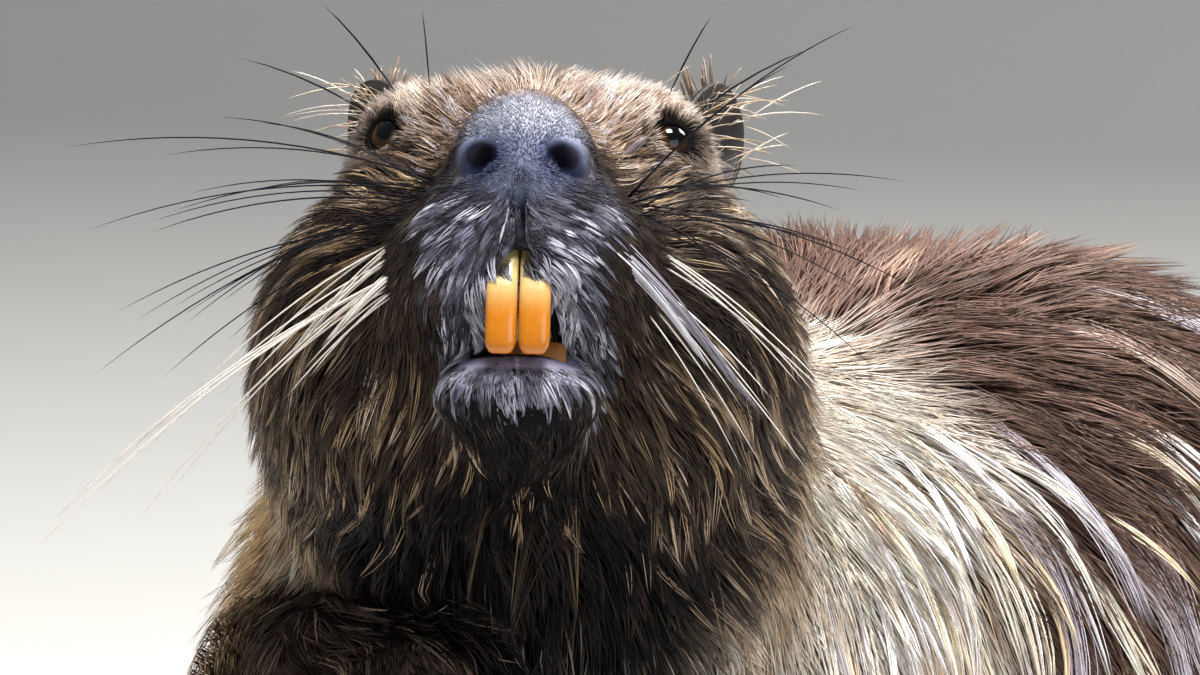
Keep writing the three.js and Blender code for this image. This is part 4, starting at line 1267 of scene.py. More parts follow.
def makeEars():
    for name, side in bothSides.items():
        turn, at = earFrame(side)
        angles = np.arange(ear["sides"]) * 2 * math.pi / ear["sides"]
        rows, shades = [], []
        # share of the outline, how far forward, and how pale
        profile = [(0.02, -1.3, 0.1), (0.25, -1.2, 0.15), (0.5, -0.9, 0.3), (0.72, -0.3, 0.5),
                   (0.86, 0.7, 0.8), (0.93, 1.4, 1.0), (0.97, 1.6, 1.0), (1.0, 1.2, 1.0), (1.0, 0.4, 1.0),
                   (0.95, -0.6, 1.5), (0.8, -1.7, 2.2), (0.5, -2.5, 2.4), (0.25, -2.7, 2.4),
                   (0.02, -2.75, 2.4)]
        for share, ahead, shade in profile:
            x, z = earRim(angles)
            fold = 0.5 * np.sin(angles * 2 + 0.6) * share ** 2
            rows.append(np.stack([x * share, -ahead + fold, z * share], 1))
            shades.append(np.full(len(angles), shade))
        verts = np.concatenate(rows)
        loops, sizes = drumPattern(len(rows), ear["sides"])
        placed = fromHead(verts @ turn.T + at)
        piece = makeObject(f"cupped_ear_{name}", placed, loops, sizes, [earSkin])
        paint(piece, "tint", mix(ear["deepTone"], ear["rimTone"], np.concatenate(shades)))
        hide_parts("ear_" + name)
        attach(piece, "root")


makeEars()

# Incisors

upperIncisor = {"root": -13, "tip": -36.9, "bendAt": -30, "front": -0.5, "chisel": 3.2, "aside": 0.0}
lowerIncisor = {"root": -41, "tip": -31.6, "bendAt": -40, "front": 8.5, "chisel": -3, "aside": 2.8}
incisor = {"width": 6.05, "depth": 5, "bend": 25, "rows": 26, "sides": 28}
enamel = {"upperRoot": (0.70, 0.56, 0.24), "upper": (0.58, 0.20, 0.003), "upperEdge": (0.62, 0.18, 0.004),
          "lowerRoot": (0.40, 0.20, 0.06), "lower": (0.30, 0.10, 0.02), "lines": (0.42, 0.16, 0.03)}


def makeEnamelFinish(name):
    material, t, shader = finish(name, Coat_Weight=0.55, Coat_Roughness=0.08, Specular_IOR_Level=0.5)
    mottle = addTint(t, 260, 0.16)[1]
    place = t.add("TexCoord").outputs["Object"]
    stretched = t.add("Mapping", Vector=place)
    stretched.inputs["Scale"].default_value = (1, 1, 0.12)
    lines = t.add("TexNoise", Vector=stretched.outputs[0], Scale=1900.0, Detail=3.0)
    share = t.maths("MULTIPLY", lines.outputs["Fac"], 0.34)
    t.join(t.blend(share, mottle.outputs["Colour"], enamel["lines"], "MULTIPLY"), shader.inputs["Base Color"])
    bump = t.add("Bump", Height=lines.outputs["Fac"], Strength=0.12, Distance=0.0004)
    t.join(bump.outputs[0], shader.inputs["Normal"])
    t.join(t.maths("MULTIPLY_ADD", mottle.outputs["Cloud"], 0.16, 0.16), shader.inputs["Roughness"])
    return material


orangeEnamel = makeEnamelFinish("orangeEnamel")
amberEnamel = makeEnamelFinish("amberEnamel")


def makeIncisor(name, side, jaw, material, slotName):
    rows, count = incisor["rows"], incisor["sides"]
    angles = np.arange(count) * 2 * math.pi / count
    outline = np.stack([np.sign(np.cos(angles)) * np.abs(np.cos(angles)) ** 0.5,
                        np.sign(np.sin(angles)) * np.abs(np.sin(angles)) ** 0.55], 1)  # x across, y back
    half, deep = incisor["width"] / 2 - 0.1, incisor["depth"] / 2
    verts, shares = [], []
    for n in range(rows):
        share = n / (rows - 1)
        z = jaw["root"] + (jaw["tip"] - jaw["root"]) * share
        lift = jaw["chisel"] * share ** 3 * (outline[:, 1] + 1) / 2  # the back of the edge is worn away
        narrow = 1 - 0.22 * ramp(share, 0.93, 1.0) ** 1.5
        heights = z + lift
        front = incisor["bend"] - np.sqrt(incisor["bend"] ** 2 - (heights - jaw["bendAt"]) ** 2)
        x = side * incisor["width"] / 2 + jaw["aside"] + outline[:, 0] * half * narrow
        y = jaw["front"] + front + deep + outline[:, 1] * deep * (1 - 0.12 * ramp(share, 0.95, 1.0))
        verts.append(np.stack([x, y, heights], 1))
        shares.append(np.full(count, share))
    verts, share = np.concatenate(verts), np.concatenate(shares)
    loops, sizes = drumPattern(rows, count, turned=jaw["tip"] < jaw["root"])
    if slotName == "upper_enamel":
        tint = mix(enamel["upperRoot"], enamel["upper"], ramp(share, 0.32, 0.74))
        tint = mix(tint, enamel["upperEdge"], ramp(share, 0.8, 1.0) * 0.6)
    else:
        tint = mix(enamel["lowerRoot"], enamel["lower"], ramp(share, 0.5, 1.0))
    piece = makeObject(f"fine_{name}", fromHead(verts), loops, sizes, [material])
    paint(piece, "tint", tint)
    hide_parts(name)
    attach(piece, "root")


for name, side in bothSides.items():
    makeIncisor("upper_incisor_" + name, side, upperIncisor, orangeEnamel, "upper_enamel")
    makeIncisor("lower_incisor_" + name, side, lowerIncisor, amberEnamel, "lower_enamel")
report("ears and teeth made")

# Claws

claw = {"sides": 12, "steps": 9, "stout": 0.19,  # half its width for each length
        "footTone": (0.16, 0.11, 0.075), "tipTone": (0.50, 0.40, 0.28)}


def makeSpike(name, line, radii, tints, material, flat=0.85):  # one closed tapered tube
    sides, rings = claw["sides"], len(line) - 1
    along = directions(line[None])[0]
    across = unit(np.cross(along, (0.0, 0.02, 1.0)))
    over = np.cross(across, along)
    turn = np.arange(sides) * 2 * math.pi / sides
    ring = across[:rings, None] * np.cos(turn)[:, None] + over[:rings, None] * np.sin(turn)[:, None] * flat
    body = line[:rings, None] + ring * radii[:rings, None, None]
    loops, sizes = spikePattern(rings, sides)
    piece = makeObject(name, np.concatenate([body.reshape(-1, 3), line[-1:]]), loops, sizes, [material])
    paint(piece, "tint", tints[np.concatenate([np.repeat(np.arange(rings), sides), [rings]])])
    return piece


def makeHornFinish():
    material, t, shader = finish("clawHorn", Coat_Weight=0.3, Coat_Roughness=0.2)
    mottle = addTint(t, 700, 0.35)[1]
    t.join(mottle.outputs["Colour"], shader.inputs["Base Color"])
    t.join(t.maths("MULTIPLY_ADD", mottle.outputs["Cloud"], 0.25, 0.22), shader.inputs["Roughness"])
    bump = t.add("Bump", Height=mottle.outputs["Cloud"], Strength=0.2, Distance=0.0003)
    t.join(bump.outputs[0], shader.inputs["Normal"])
    return material


clawHorn = makeHornFinish()


def makeClaws():
    along = np.linspace(0, 1, claw["steps"])
    for name, (_, turn) in footFrames.items():
        for n, toe in enumerate(toePlan(name)):
            _, knuckle, tip = toePoints(name, toe)
            ahead = unit(tip - knuckle)
            length = toe["claw"]
            stops = [tip - ahead * 1.2, tip + ahead * length * 0.3 + turn @ (0, 0, length * 0.05),
                     tip + ahead * length * 0.7, tip + ahead * length - turn @ (0, 0, length * 0.12)]
            line = smoothPath(stops, claw["steps"])
            line[:, 2] = np.maximum(line[:, 2], 0.9)
            radii = np.interp(along, [0, 0.3, 0.7, 1], [1, 0.92, 0.6, 0.1]) * (length * claw["stout"])
            if name != "forefoot_right":  # the others touch the floor
                radii = np.minimum(radii, np.maximum(line[:, 2] - 0.15, 0.5))
            shade = mix(claw["footTone"], claw["tipTone"], along ** 1.5)
            piece = makeSpike(f"{name}_fine_claw_{n + 1}", line, radii, shade, clawHorn)
            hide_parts(f"{name}_claw_{n + 1}")
            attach(piece, "root")


makeClaws()
report("claws made")

# Coat

coat = {"seed": 41, "layers": {"head": 3.55, "body": 2.4, "limbs": 0.8, "raised": 2.0},  # of tufts
        "mostTriangles": 190000}  # in one piece


def scatterRoots(density, dice):  # points over the skin, so many for each square millimetre
    starts = np.concatenate([[0], np.cumsum(skinSizes)[:-1]])
    fans = []
    for n in range(1, int(skinSizes.max()) - 1):
        first = starts[skinSizes > n + 1]
        fans.append(skinLoops[np.stack([first, first + n, first + n + 1], 1)])
    fans = np.concatenate(fans)
    a, b, c = (skinVerts[fans[:, n]].astype(float) for n in range(3))
    area = np.linalg.norm(np.cross(b - a, c - a), axis=1) / 2
    wanted = area * density[fans].mean(1)
    count = np.floor(wanted + dice.random(len(wanted))).astype(int)
    tri = np.repeat(np.arange(len(fans)), count)
    u, v = dice.random((2, len(tri)))
    over = u + v > 1
    u[over], v[over] = 1 - u[over], 1 - v[over]
    w = 1 - u - v
    mixed = w[:, None] * a[tri] + u[:, None] * b[tri] + v[:, None] * c[tri]
    normals = (w[:, None] * skinNormals[fans[tri, 0]] + u[:, None] * skinNormals[fans[tri, 1]]
               + v[:, None] * skinNormals[fans[tri, 2]])
    return mixed, unit(normals)


def hairTints(plan, rows, dice):
    share = np.linspace(0, 1, rows)[None, :, None]
    root, middle, tip = (plan[k][:, None, :] for k in ("root", "middle", "tip"))
    lower, upper = root + (middle - root) * share / 0.5, middle + (tip - middle) * (share - 0.5) / 0.5
    tint = np.where(share < 0.5, lower, upper)
    light = np.exp(dice.normal(size=(len(tint), 1, 1)) * 0.3)
    return np.clip(tint * light, 0.003, 0.9)


def coatSections(p, plan):  # pieces of the coat by place
    h = plan["h"]
    headSide = np.where(h[:, 0] > 0, "left", "right")
    bodySide = np.where(p[:, 0] > bodyAt[0], "left", "right")
    names = np.full(len(p), "", dtype=object)
    onHead = plan["zone"]["head"] > 0.5
    back = p[:, 1] - chestFront
    low, before = h[:, 2] <= 12, h[:, 1] < 34
    for which, label, side in (
            (onHead & ~low, "crown", headSide), (onHead & low & before, "muzzle", headSide),
            (onHead & low & ~before, "cheek", headSide), (~onHead & (back < 75), "neck", bodySide),
            (~onHead & (back >= 75) & (back < 190), "shoulder", bodySide),
            (~onHead & (back >= 190) & (back < 290), "flank", bodySide),
            (~onHead & (back >= 290), "rump", bodySide)):
        names[which] = [f"fur_{label}_{each}" for each in side[which]]
    names[np.maximum(plan["arm"], plan["paws"]) > 0.5] = "fur_limbs"
    return names


def makeCoat():
    dice = np.random.default_rng(coat["seed"])
    skin = skinPlan
    layers = mix(coat["layers"]["body"], coat["layers"]["head"], skin["zone"]["head"])
    raised = np.linalg.norm(skinVerts - wrist["right"], axis=1) < 60
    onLimbs = np.where(raised, coat["layers"]["raised"], coat["layers"]["limbs"])
    layers = mix(layers, onLimbs, np.maximum(skin["arm"], skin["paws"]))
    fore = 1 - ramp(skinVerts[:, 1], bodyAt[1] - 20, bodyAt[1] + 90)
    near = 1 + 0.2 * fore * (1 - skin["zone"]["head"])  # thicker over the shoulders
    roots, normals = scatterRoots(skin["density"] * layers * near, dice)
    plan = coatPlan(roots, dice)
    report(f"{len(roots)} tufts rooted")

    def chosen(values, which):
        return {k: chosen(v, which) if isinstance(v, dict) else v[which] for k, v in values.items()}

    keep = ~faceOpenings(plan["h"])
    roots, normals, plan = roots[keep], normals[keep], chosen(plan, keep)
    names = coatSections(roots, plan)
    lengths = plan["length"] * np.exp(dice.normal(size=len(roots)) * 0.2)
    widths = plan["width"] * np.exp(dice.normal(size=len(roots)) * 0.22)
    for name in sorted(set(names)):
        here = names == name
        steps = 3 if name.split("_")[1] == "neck" else 2
        makeCoatPiece(name, roots[here], normals[here], chosen(plan, here), lengths[here], widths[here],
                      steps, dice)


def faceOpenings(h):  # no hair on the eyes, in the mouth or on the lips
    bare = np.zeros(len(h), bool)
    for side in (1, -1):
        q = (h - eyePlace(side)) @ gazeFrame(side)
        bare |= (q[:, 0] > 0) & (np.square((q[:, 1] + 0.8) / 3.3) + np.square((q[:, 2] + 0.6) / 3.1) < 1)
        bare |= np.linalg.norm((h - (side * 8.2, 2, 0.4)) / (5.0, 9, 3.8), axis=1) < 1
    bare |= (np.abs(h[:, 0]) < mouthHalf(h) + 0.2) & (h[:, 2] < -15.4) & (h[:, 2] > -36.5) & (h[:, 1] > 2.2)
    bare |= (np.abs(h[:, 0]) < 1.0) & (h[:, 2] < -5) & (h[:, 2] > -17) & (h[:, 1] < 6)
    return bare


def makeCoatPiece(name, roots, normals, plan, lengths, widths, steps, dice):
    zone = plan["zone"]
    body = np.interp(plan["h"][:, 1], [60, 130], [0.0, 1.0])
    crown = ramp(plan["h"][:, 2], 14, 26) * (1 - body)
    uneven = 0.3 - 0.17 * np.maximum(body, crown)
    rise = np.clip(0.78 + uneven * dice.normal(size=len(roots)), 0.1, 1.1 - 0.14 * body) * (1 + 0.5 * crown)
    paths, outs = combed(roots, normals, lengths, plan["depth"], steps, rise, dice)
    size = np.interp(lengths, [2, 9, 17, 29], [1.6, 2.6, 4.2, 8.5])
    share = 1 / np.maximum(plan["density"] * coat["layers"]["body"] * size ** 2, 1)
    pull = mix(0.84, 0.94, np.maximum(zone["chin"], zone["muzzle"]))
    pull *= np.clip(0.75 + 0.35 * ripple(roots, 40, 23) + 0.2 * dice.normal(size=len(roots)), 0.1, 1)
    pull *= np.clip(lengths / 5, 0, 1)
    paths, follows = gathered(paths, share, pull, dice)
    tints = hairTints(plan, steps + 1, dice)
    own = 0.35 + 0.45 * zone["chin"][:, None, None]
    tints = tints * own + tints[follows] * (1 - own)
    triangles = 6 * steps - 2  # in one tuft
    onHead = body.mean() < 0.5
    centre, axis = roots.mean(0), (headTurn @ (0, 1, 0) if onHead else (0, 1, 0))
    count = len(roots)
    parts = -(-count // (coat["mostTriangles"] // triangles))
    for part in range(parts):
        pick = np.arange(part, count, parts)
        label = name if parts == 1 else f"{name}_{part + 1}"
        piece = makeStrands(label, paths[pick], outs[pick], widths[pick], np.clip(tints[pick], 0.003, 0.9),
                            [faceHair if onHead else guardHair], unwrap(roots[pick], centre, axis))
        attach(piece, "root")
        report(f"{label}: {len(pick)} tufts, {len(pick) * triangles} triangles")


makeCoat()

# Wet locks: hairs rooted together that run into one point

locks = {
    "mantle": {"count": 330, "strands": 9, "length": (34, 70), "spread": 1.7, "width": 0.62, "rings": 8},
    "streak": {"count": 16, "strands": 26, "length": (85, 125), "spread": 2.4, "width": 0.5, "rings": 14},
    "muzzle": {"count": 380, "strands": 6, "length": (6, 11.5), "spread": 0.6, "width": 0.3, "rings": 4},
    "cheek": {"count": 1000, "strands": 4, "length": (13, 24), "spread": 0.6, "width": 0.23, "rings": 5},
    "throat": {"count": 520, "strands": 3, "length": (9, 20), "spread": 0.8, "width": 0.22, "rings": 5},
    "crown": {"count": 380, "strands": 5, "length": (6, 12), "spread": 0.5, "width": 0.28, "rings": 4},
    "lip": {"count": 120, "strands": 6, "length": (6, 11), "spread": 0.55, "width": 0.27, "rings": 5},
}


def lockLikely(kind):  # how likely a lock of this kind is at each point of the skin
    p, plan = skinVerts.astype(float), skinPlan
    h, zone = plan["h"], plan["zone"]
    head = zone["head"] * (1 - ramp(h[:, 1], 96, 112))
    clear = ramp(fromEye(h, 1), 9, 13) * ramp(fromEye(h, -1), 9, 13)
    b = p - bodyAt
    if kind == "mantle":
        back = p[:, 1] - chestFront
        flank = 0.22 * ramp(back, 150, 200) * (1 - ramp(back, 260, 330)) * (1 - ramp(p[:, 2], 118, 132))
        likely = (zone["mantle"] + flank) * (1 - ramp(b[:, 2], 110, 126))
        return likely * ramp(p[:, 2], 40, 85) * (1 - zone["head"]) * (1 - plan["arm"]) * ramp(back, 60, 100)
    if kind == "streak":
        back = ramp(b[:, 1], 40, 70) * (1 - ramp(b[:, 1], 130, 160))
        return back * ramp(b[:, 2], 92, 112) * ramp(np.abs(b[:, 0]), 14, 30) * (b[:, 2] < 138)
    if kind == "muzzle":
        philtrum = within(h, (0, 4, -14), (5.2, 9, 7), 0.3)
        return zone["muzzle"] * (1 - zone["nose"]) * (1 - zone["lip"]) * (h[:, 2] < -7) * (1 - philtrum)
    if kind == "lip":
        aside = np.abs(h[:, 0]) - mouthHalf(h)
        edge = ramp(aside, -0.5, 0.5) * (1 - ramp(aside, 1.5, 5)) * (1 - zone["lip"])
        return edge * ramp(h[:, 2], -32, -28) * (1 - ramp(h[:, 2], -20, -17)) * (1 - ramp(h[:, 1], 9, 13))
    if kind == "cheek":
        low = 1 - ramp(h[:, 2], 4, 14)
        return head * low * ramp(h[:, 1], 14, 24) * (1 - zone["chin"]) * (1 - 0.9 * zone["muzzle"]) * clear
    if kind == "throat":
        return np.maximum(zone["chin"] * head, zone["chest"] * 0.5) * (1 - zone["lipFringe"]) * (p[:, 2] > 40)
    return head * ramp(h[:, 2], 6, 16) * (1 - zone["nose"]) * clear * ramp(h[:, 1], 10, 20)


def lockTones(kind, count, dice):  # a colour for the foot and for the tip of each lock
    pale, chance = dice.random(count), dice.random(count)
    if kind == "mantle":
        foot = mix(hue["rosewood"], hue["gold"], dice.random(count))
        # Pale tips: partly the coat's own pale, partly painted highlight on wet hair.
        tip = mix(mix(hue["honey"], hue["cream"], pale), hue["pearl"], (chance < 0.25) * 0.8)
    elif kind == "streak":
        foot = mix(hue["umber"], hue["rosewood"], 0.5 + 0.5 * pale)
        # Pale lavender tips: partly the coat's own pale, partly painted highlight on wet hair.
        tip = mix(hue["sand"], hue["mist"], 0.25 + 0.7 * (chance < 0.6))
    elif kind == "muzzle":
        foot = mix(hue["pitch"], hue["slate"], np.full(count, 0.4))
        tip = mix(mix(hue["soot"], hue["ash"], pale ** 1.5), hue["frost"], (chance < 0.35) * pale)
    elif kind == "lip":
        foot, tip = mix(hue["soot"], hue["slate"], pale), mix(hue["slate"], hue["frost"], chance)
    elif kind == "cheek":
        foot = mix(hue["soot"], hue["umber"], pale)
        tip = mix(mix(hue["umber"], hue["gold"], pale), hue["straw"], pale * (chance < 0.2))
        # Some cheek tips near black: dark gaps between the wet locks, and partly painted shade on the cheeks.
        tip = mix(tip, hue["soot"], (chance > 0.6) * 0.8)
    elif kind == "throat":
        # Near-black throat locks: partly the dark fur, partly painted shade under the head.
        foot = mix(hue["pitch"], hue["soot"], pale)
        tip = mix(mix(hue["soot"], hue["umber"], pale), hue["sand"], (chance < 0.22) * 0.7)
    else:
        foot = mix(hue["soot"], hue["umber"], pale)
        tip = mix(mix(hue["chestnut"], hue["straw"], pale), hue["silver"], (chance < 0.3) * 0.6)
    return foot, tip


def makeLocks():
    areas = np.bincount(skinLoops, np.repeat(skinAreas / skinSizes, skinSizes), len(skinVerts))
    for number, (kind, look) in enumerate(locks.items()):
        dice = np.random.default_rng(77 + number)
        likely = lockLikely(kind) * areas
        count, each = look["count"], look["strands"]
        centres = dice.choice(len(skinVerts), count, replace=False, p=likely / likely.sum())
        middle = np.repeat(skinVerts[centres].astype(float), each, axis=0)
        normal = np.repeat(skinNormals[centres], each, axis=0)
        offset = dice.normal(size=middle.shape) * look["spread"]
        offset[::each] = 0
        roots = middle + offset - normal * dot(offset, normal)[:, None]
        lengths = np.repeat(dice.uniform(*look["length"], count), each) * dice.uniform(0.7, 1.0, count * each)
        depths = np.repeat(skinPlan["depth"][centres], each)
        d = outlineAt(roots.astype(np.float32))
        roots = roots + normal * (-depths - d)[:, None]
        rise = np.repeat(dice.uniform(0.95, 1.05 if kind in ("mantle", "streak") else 1.2, count), each)
        wander = {"throat": 0.22, "crown": 0.22, "cheek": 0.12}.get(kind, 0.05)
        paths, outs = combed(roots, normal, lengths, depths, look["rings"], rise, dice, wander)
        follows = np.repeat(np.arange(count) * each, each)
        share = np.linspace(0, 1, paths.shape[1])[None, :, None]
        closing = 0.55 if kind == "streak" else 0.9
        beside = (roots - roots[follows])[:, None, :] * (1 - closing * share ** 0.7)
        paths = paths + (paths[follows] + beside - paths) * share ** 0.6 * 0.93
        if kind == "lip":  # turned inwards, over the sides of the teeth
            inwards = -np.sign(headPlace(roots)[:, :1]) * headTurn[:, 0] * 2.6 - headTurn[:, 1] * 1.2
            paths = paths + inwards[:, None] * share ** 1.5
        start, tip = (np.repeat(tone, each, axis=0) for tone in lockTones(kind, count, dice))
        along = np.linspace(0, 1, paths.shape[1])
        paling = ramp(along, 0.08, 0.75) if kind == "streak" else ramp(along, 0.0, 0.5)
        tints = start[:, None] + (tip - start)[:, None] * paling[None, :, None]
        tints = np.clip(tints * np.exp(dice.normal(size=(len(tints), 1, 1)) * 0.2), 0.003, 0.9)
        widths = np.full(len(paths), look["width"]) * dice.uniform(0.7, 1.2, len(paths))
        leftSide = middle[:, 0] > (bodyAt[0] if kind in ("mantle", "streak", "throat") else headAt[0])
        for name, here in (("left", leftSide), ("right", ~leftSide)):
            piece = makeStrands(f"{kind}_locks_{name}", paths[here], outs[here], widths[here], tints[here],
                                [wetLockHair], unwrap(roots[here], roots[here].mean(0), (0, 1, 0)))
            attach(piece, "root")
        report(f"{kind} locks: {len(paths)} hairs, {len(paths) * (6 * look['rings'] - 2)} triangles")


makeLocks()

# Hair with a path of its own: drips under the chin, brows, ears and whiskers

def looseHair(name, hairs, hang, lift, dice, finishWith, rings, taper=(1.0, 0.85)):
    starts, ends, tones, widths = (np.array(v, float) for v in zip(*hairs))
    bend = np.stack([0 * widths, 0 * widths - hang, lift * np.linalg.norm(ends - starts, axis=1)], 1)
    tints = np.stack([even(tone, 1, rings, dice)[0] for tone in tones])
    share = np.linspace(0, 1, rings + 1)[None, :, None]
    lines = starts[:, None] + (ends - starts)[:, None] * share + bend[:, None] * share * (1 - share) * 4
    placed = fromHead(lines)
    away = unit(placed[:, :1] - inHead(0, 50, -5)) + 0 * placed
    piece = makeStrands(name, placed, away, widths, tints, [finishWith],
                        unwrap(placed[:, 0], placed[:, 0].mean(0), headTurn @ (0, 1, 0)), taper)
    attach(piece, "root")


def even(tone, count, rings, dice, spread=0.15):  # one colour for each hair, a little different in each
    tone = np.asarray(tone, float)
    tone = np.broadcast_to(tone, (count, 3))[:, None, :]
    return np.clip(np.repeat(tone, rings + 1, 1) * np.exp(dice.normal(size=(count, 1, 1)) * spread), 0, 0.92)


whiskerFinish = makeFurFinish("whiskerShaft", 0.3, scale=300, wetness=0.4)
whisker = {"black": (0.010, 0.009, 0.012), "cream": (0.72, 0.66, 0.60), "lavender": (0.26, 0.24, 0.29),
           "silver": (0.66, 0.64, 0.70), "width": 0.4, "stuck": 0.36}


def makeWhiskers():
    dice = np.random.default_rng(9)
    paleRight = [((-18.9, 12, -16), (-87.6, 30, -67)), ((-20, 13, -17), (-81, 30, -57)),
                 ((-21, 13, -13.5), (-67.6, 28, -48)), ((-19.5, 12, -18.5), (-52, 24, -42.4)),
                 ((-22, 14, -11), (-60, 30, -37)), ((-20, 12, -14), (-47, 22, -33)),
                 ((-17, 10, -15), (-38, 18, -30)), ((-18, 11, -19), (-43, 20, -41)),
                 ((-21, 14, -15.5), (-70, 36, -60))]
    darkRight = [((-16.7, 12, 0), (-85, 26, 8.5)), ((-17.6, 12, -2.3), (-81, 28, -7)),
                 ((-18.5, 12, -5), (-78.5, 30, -34)), ((-20.4, 13, -4), (-68.5, 20, -9.5)),
                 ((-21.3, 14, -6.5), (-71, 22, -26)), ((-17, 12, -1), (-56.7, 20, 13)),
                 ((-20, 14, -8), (-75, 30, -22)), ((-22, 15, -9), (-66, 34, -33)),
                 ((-19, 13, -3), (-62, 26, 0)), ((-23, 16, -7), (-58, 36, -17))]
    paleLeft = [((15, 11, -13), (47, 22, -43)), ((17, 12, -16), (45, 26, -51)),
                ((20, 14, -12), (66, 30, -46)), ((19, 13, -17), (54, 28, -52)),
                ((21, 14, -10), (60, 32, -38))]
    darkLeft = [((21.5, 15, -3.3), (74, 24, -17.5)), ((19, 14, -2), (60.5, 18, 32.5)),
                ((22, 15, -7), (54, 26, -24.5)), ((20, 14, -1), (58, 26, -1)), ((22, 16, -9), (52, 30, -44)),
                ((18, 13, -4), (70, 30, 6)), ((21, 15, -5), (66, 34, -30)), ((19, 13, -6), (62, 24, -10)),
                ((22, 16, -3), (50, 34, 10))]
    hairs = []
    for pairs, tone, wide in ((paleRight, "cream", 1.15), (darkRight, "black", 0.95),
                              (paleLeft, "cream", 1.1), (darkLeft, "black", 0.95)):
        for start, end in pairs:
            for copy in range(2):  # a shorter one beside each
                jitter = dice.normal(size=(2, 3)) * ((0.9, 0.9, 0.9), (3.0, 3.0, 3.0)) * (copy > 0)
                near = np.array(start) + (0, 2.5, 0) + jitter[0]
                far = np.array(end, float) + jitter[1]
                far = near + (far - near) * (1 if copy == 0 else dice.uniform(0.6, 0.95))
                hairs.append((near, far, whisker[tone], whisker["width"] * wide * dice.uniform(0.85, 1.1)))
    spikes = [((14.5, 2.5, -13.5), (45, 17, -44), "lavender", 26),
              ((-18, 11, -15), (-37, 18, -32), "cream", 14), ((-21, 13, -12), (-44, 22, -34), "cream", 10),
              ((15.5, 3, -15), (36, 14, -37), "silver", 16)]
    for start, end, tone, count in spikes:
        for _ in range(count):  # wet hairs stuck together into one spike
            offset = dice.normal(size=3) * 0.8
            reach = (np.array(end) - start) * dice.uniform(0.75, 1.0)
            hairs.append((np.array(start) + offset + (0, 1.5, 0), np.array(start) + reach + offset * 0.08,
                          whisker[tone], whisker["stuck"]))
    looseHair("whiskers", hairs, 1, 0.06, dice, whiskerFinish, 14)


def throatDrips(dice):
    drips = (((3, 42, -57), (-1, 40, -78)), ((-7, 42, -56), (-9, 40, -72)), ((10, 44, -56), (11, 43, -73)))
    for foot, point in drips:
        for _ in range(9):
            apart = dice.normal(size=3) * (1.3, 1.5, 3.5)
            tone = mix(hue["umber"], hue["gold"], dice.random()) * 0.5
            yield np.array(foot, float) + apart, np.array(point) + apart * (0.05, 0.05, 0.5), tone, 0.26


def browHairs(dice):
    for n in range(64):
        side = 1 if n % 2 else -1
        start = np.array((side * dice.uniform(16, 31), dice.uniform(50, 66), dice.uniform(22, 27)))
        length = dice.uniform(7, 13)
        way = unit(np.array((side * dice.uniform(0.3, 0.9), dice.uniform(-0.2, 0.6), dice.uniform(0.1, 0.5))))
        yield start, start + way * length, mix(hue["chestnut"], hue["straw"], dice.random()), 0.34
    bristles = (((-24, 56, 27), (-39.5, 44, 43)), ((-19, 54, 27), (-21, 48, 44)),
                ((24, 56, 27), (33, 50, 44)), ((27, 57, 24), (52, 50, 38)), ((-28, 57, 24), (-55, 50, 34)))
    for start, end in bristles:
        yield start, end, whisker["black"], 0.42


def earHairs(side, dice):
    turn, at = earFrame(side)
    for n in range(64):  # pale fringe round the ear
        angle = dice.uniform(-0.6, math.pi + 0.6)
        x, z = earRim(angle)
        share = dice.uniform(0.35, 0.98)
        start = at + turn @ np.array((x * share, -0.4, z * share))
        out = np.array((math.cos(angle) * 1.1, dice.uniform(-1.0, 0.2), math.sin(angle) * 0.8))
        out, length, pale = turn @ unit(out), dice.uniform(3, 6), 0.6
        if n % 4 == 0:  # a long one
            out = (side * dice.uniform(0.7, 1.1), dice.uniform(-0.4, 0.5), dice.uniform(-0.35, 0.65))
            out, length, pale = unit(np.array(out)), dice.uniform(10, 19), 1
        yield start, start + out * length, mix(hue["gold"], hue["cream"], dice.random()) * pale, 0.36
    for n in range(130):  # short hair on the back of the ear
        angle = dice.uniform(0, 2 * math.pi)
        x, z = earRim(angle)
        share = dice.uniform(0.05, 0.95) ** 0.6
        start = at + turn @ np.array((x * share, 2.4 - 1.4 * share ** 3, z * share))
        way = np.array((math.cos(angle) * 0.8, dice.uniform(0.15, 0.4), 0.5 + math.sin(angle) * 0.7))
        end = start + turn @ unit(way) * dice.uniform(3.5, 6.5)
        yield start, end, mix(hue["umber"], hue["sand"], dice.random() ** 1.5), 0.42
    for n in range(60):  # hair in front of the foot of the ear
        angle = dice.uniform(0, 2 * math.pi)
        off = (-side * 5 + math.cos(angle) * 3.5, -1.8 + dice.uniform(-2, 2), -9 + math.sin(angle) * 4.0)
        start = at + turn @ np.array(off)
        way = np.array((side * dice.uniform(-0.2, 0.5), dice.uniform(-0.1, 0.9), dice.uniform(0.4, 1.0)))
        end = start + unit(way) * dice.uniform(4, 7.5)
        yield start, end, mix(hue["umber"], hue["straw"], dice.random() ** 1.5), 0.45


def makeLipAndBrowHair():
    dice = np.random.default_rng(21)
    hairs = [*throatDrips(dice), *browHairs(dice)]
    for side in bothSides.values():
        hairs += earHairs(side, dice)
    looseHair("lip_brow_and_ear_hair", hairs, 0.4, 0.05, dice, wetLockHair, 5, (0.2, 1.0))


makeWhiskers()
makeLipAndBrowHair()
report("whiskers made")

# Rings of scales round the tail

tailScales = {"ringGap": 2.3, "across": 3.1, "from": 0.06, "length": 3.1, "thickness": 0.5, "tilt": 7,
              "overlap": 1.12, "tone": (0.15, 0.115, 0.10)}


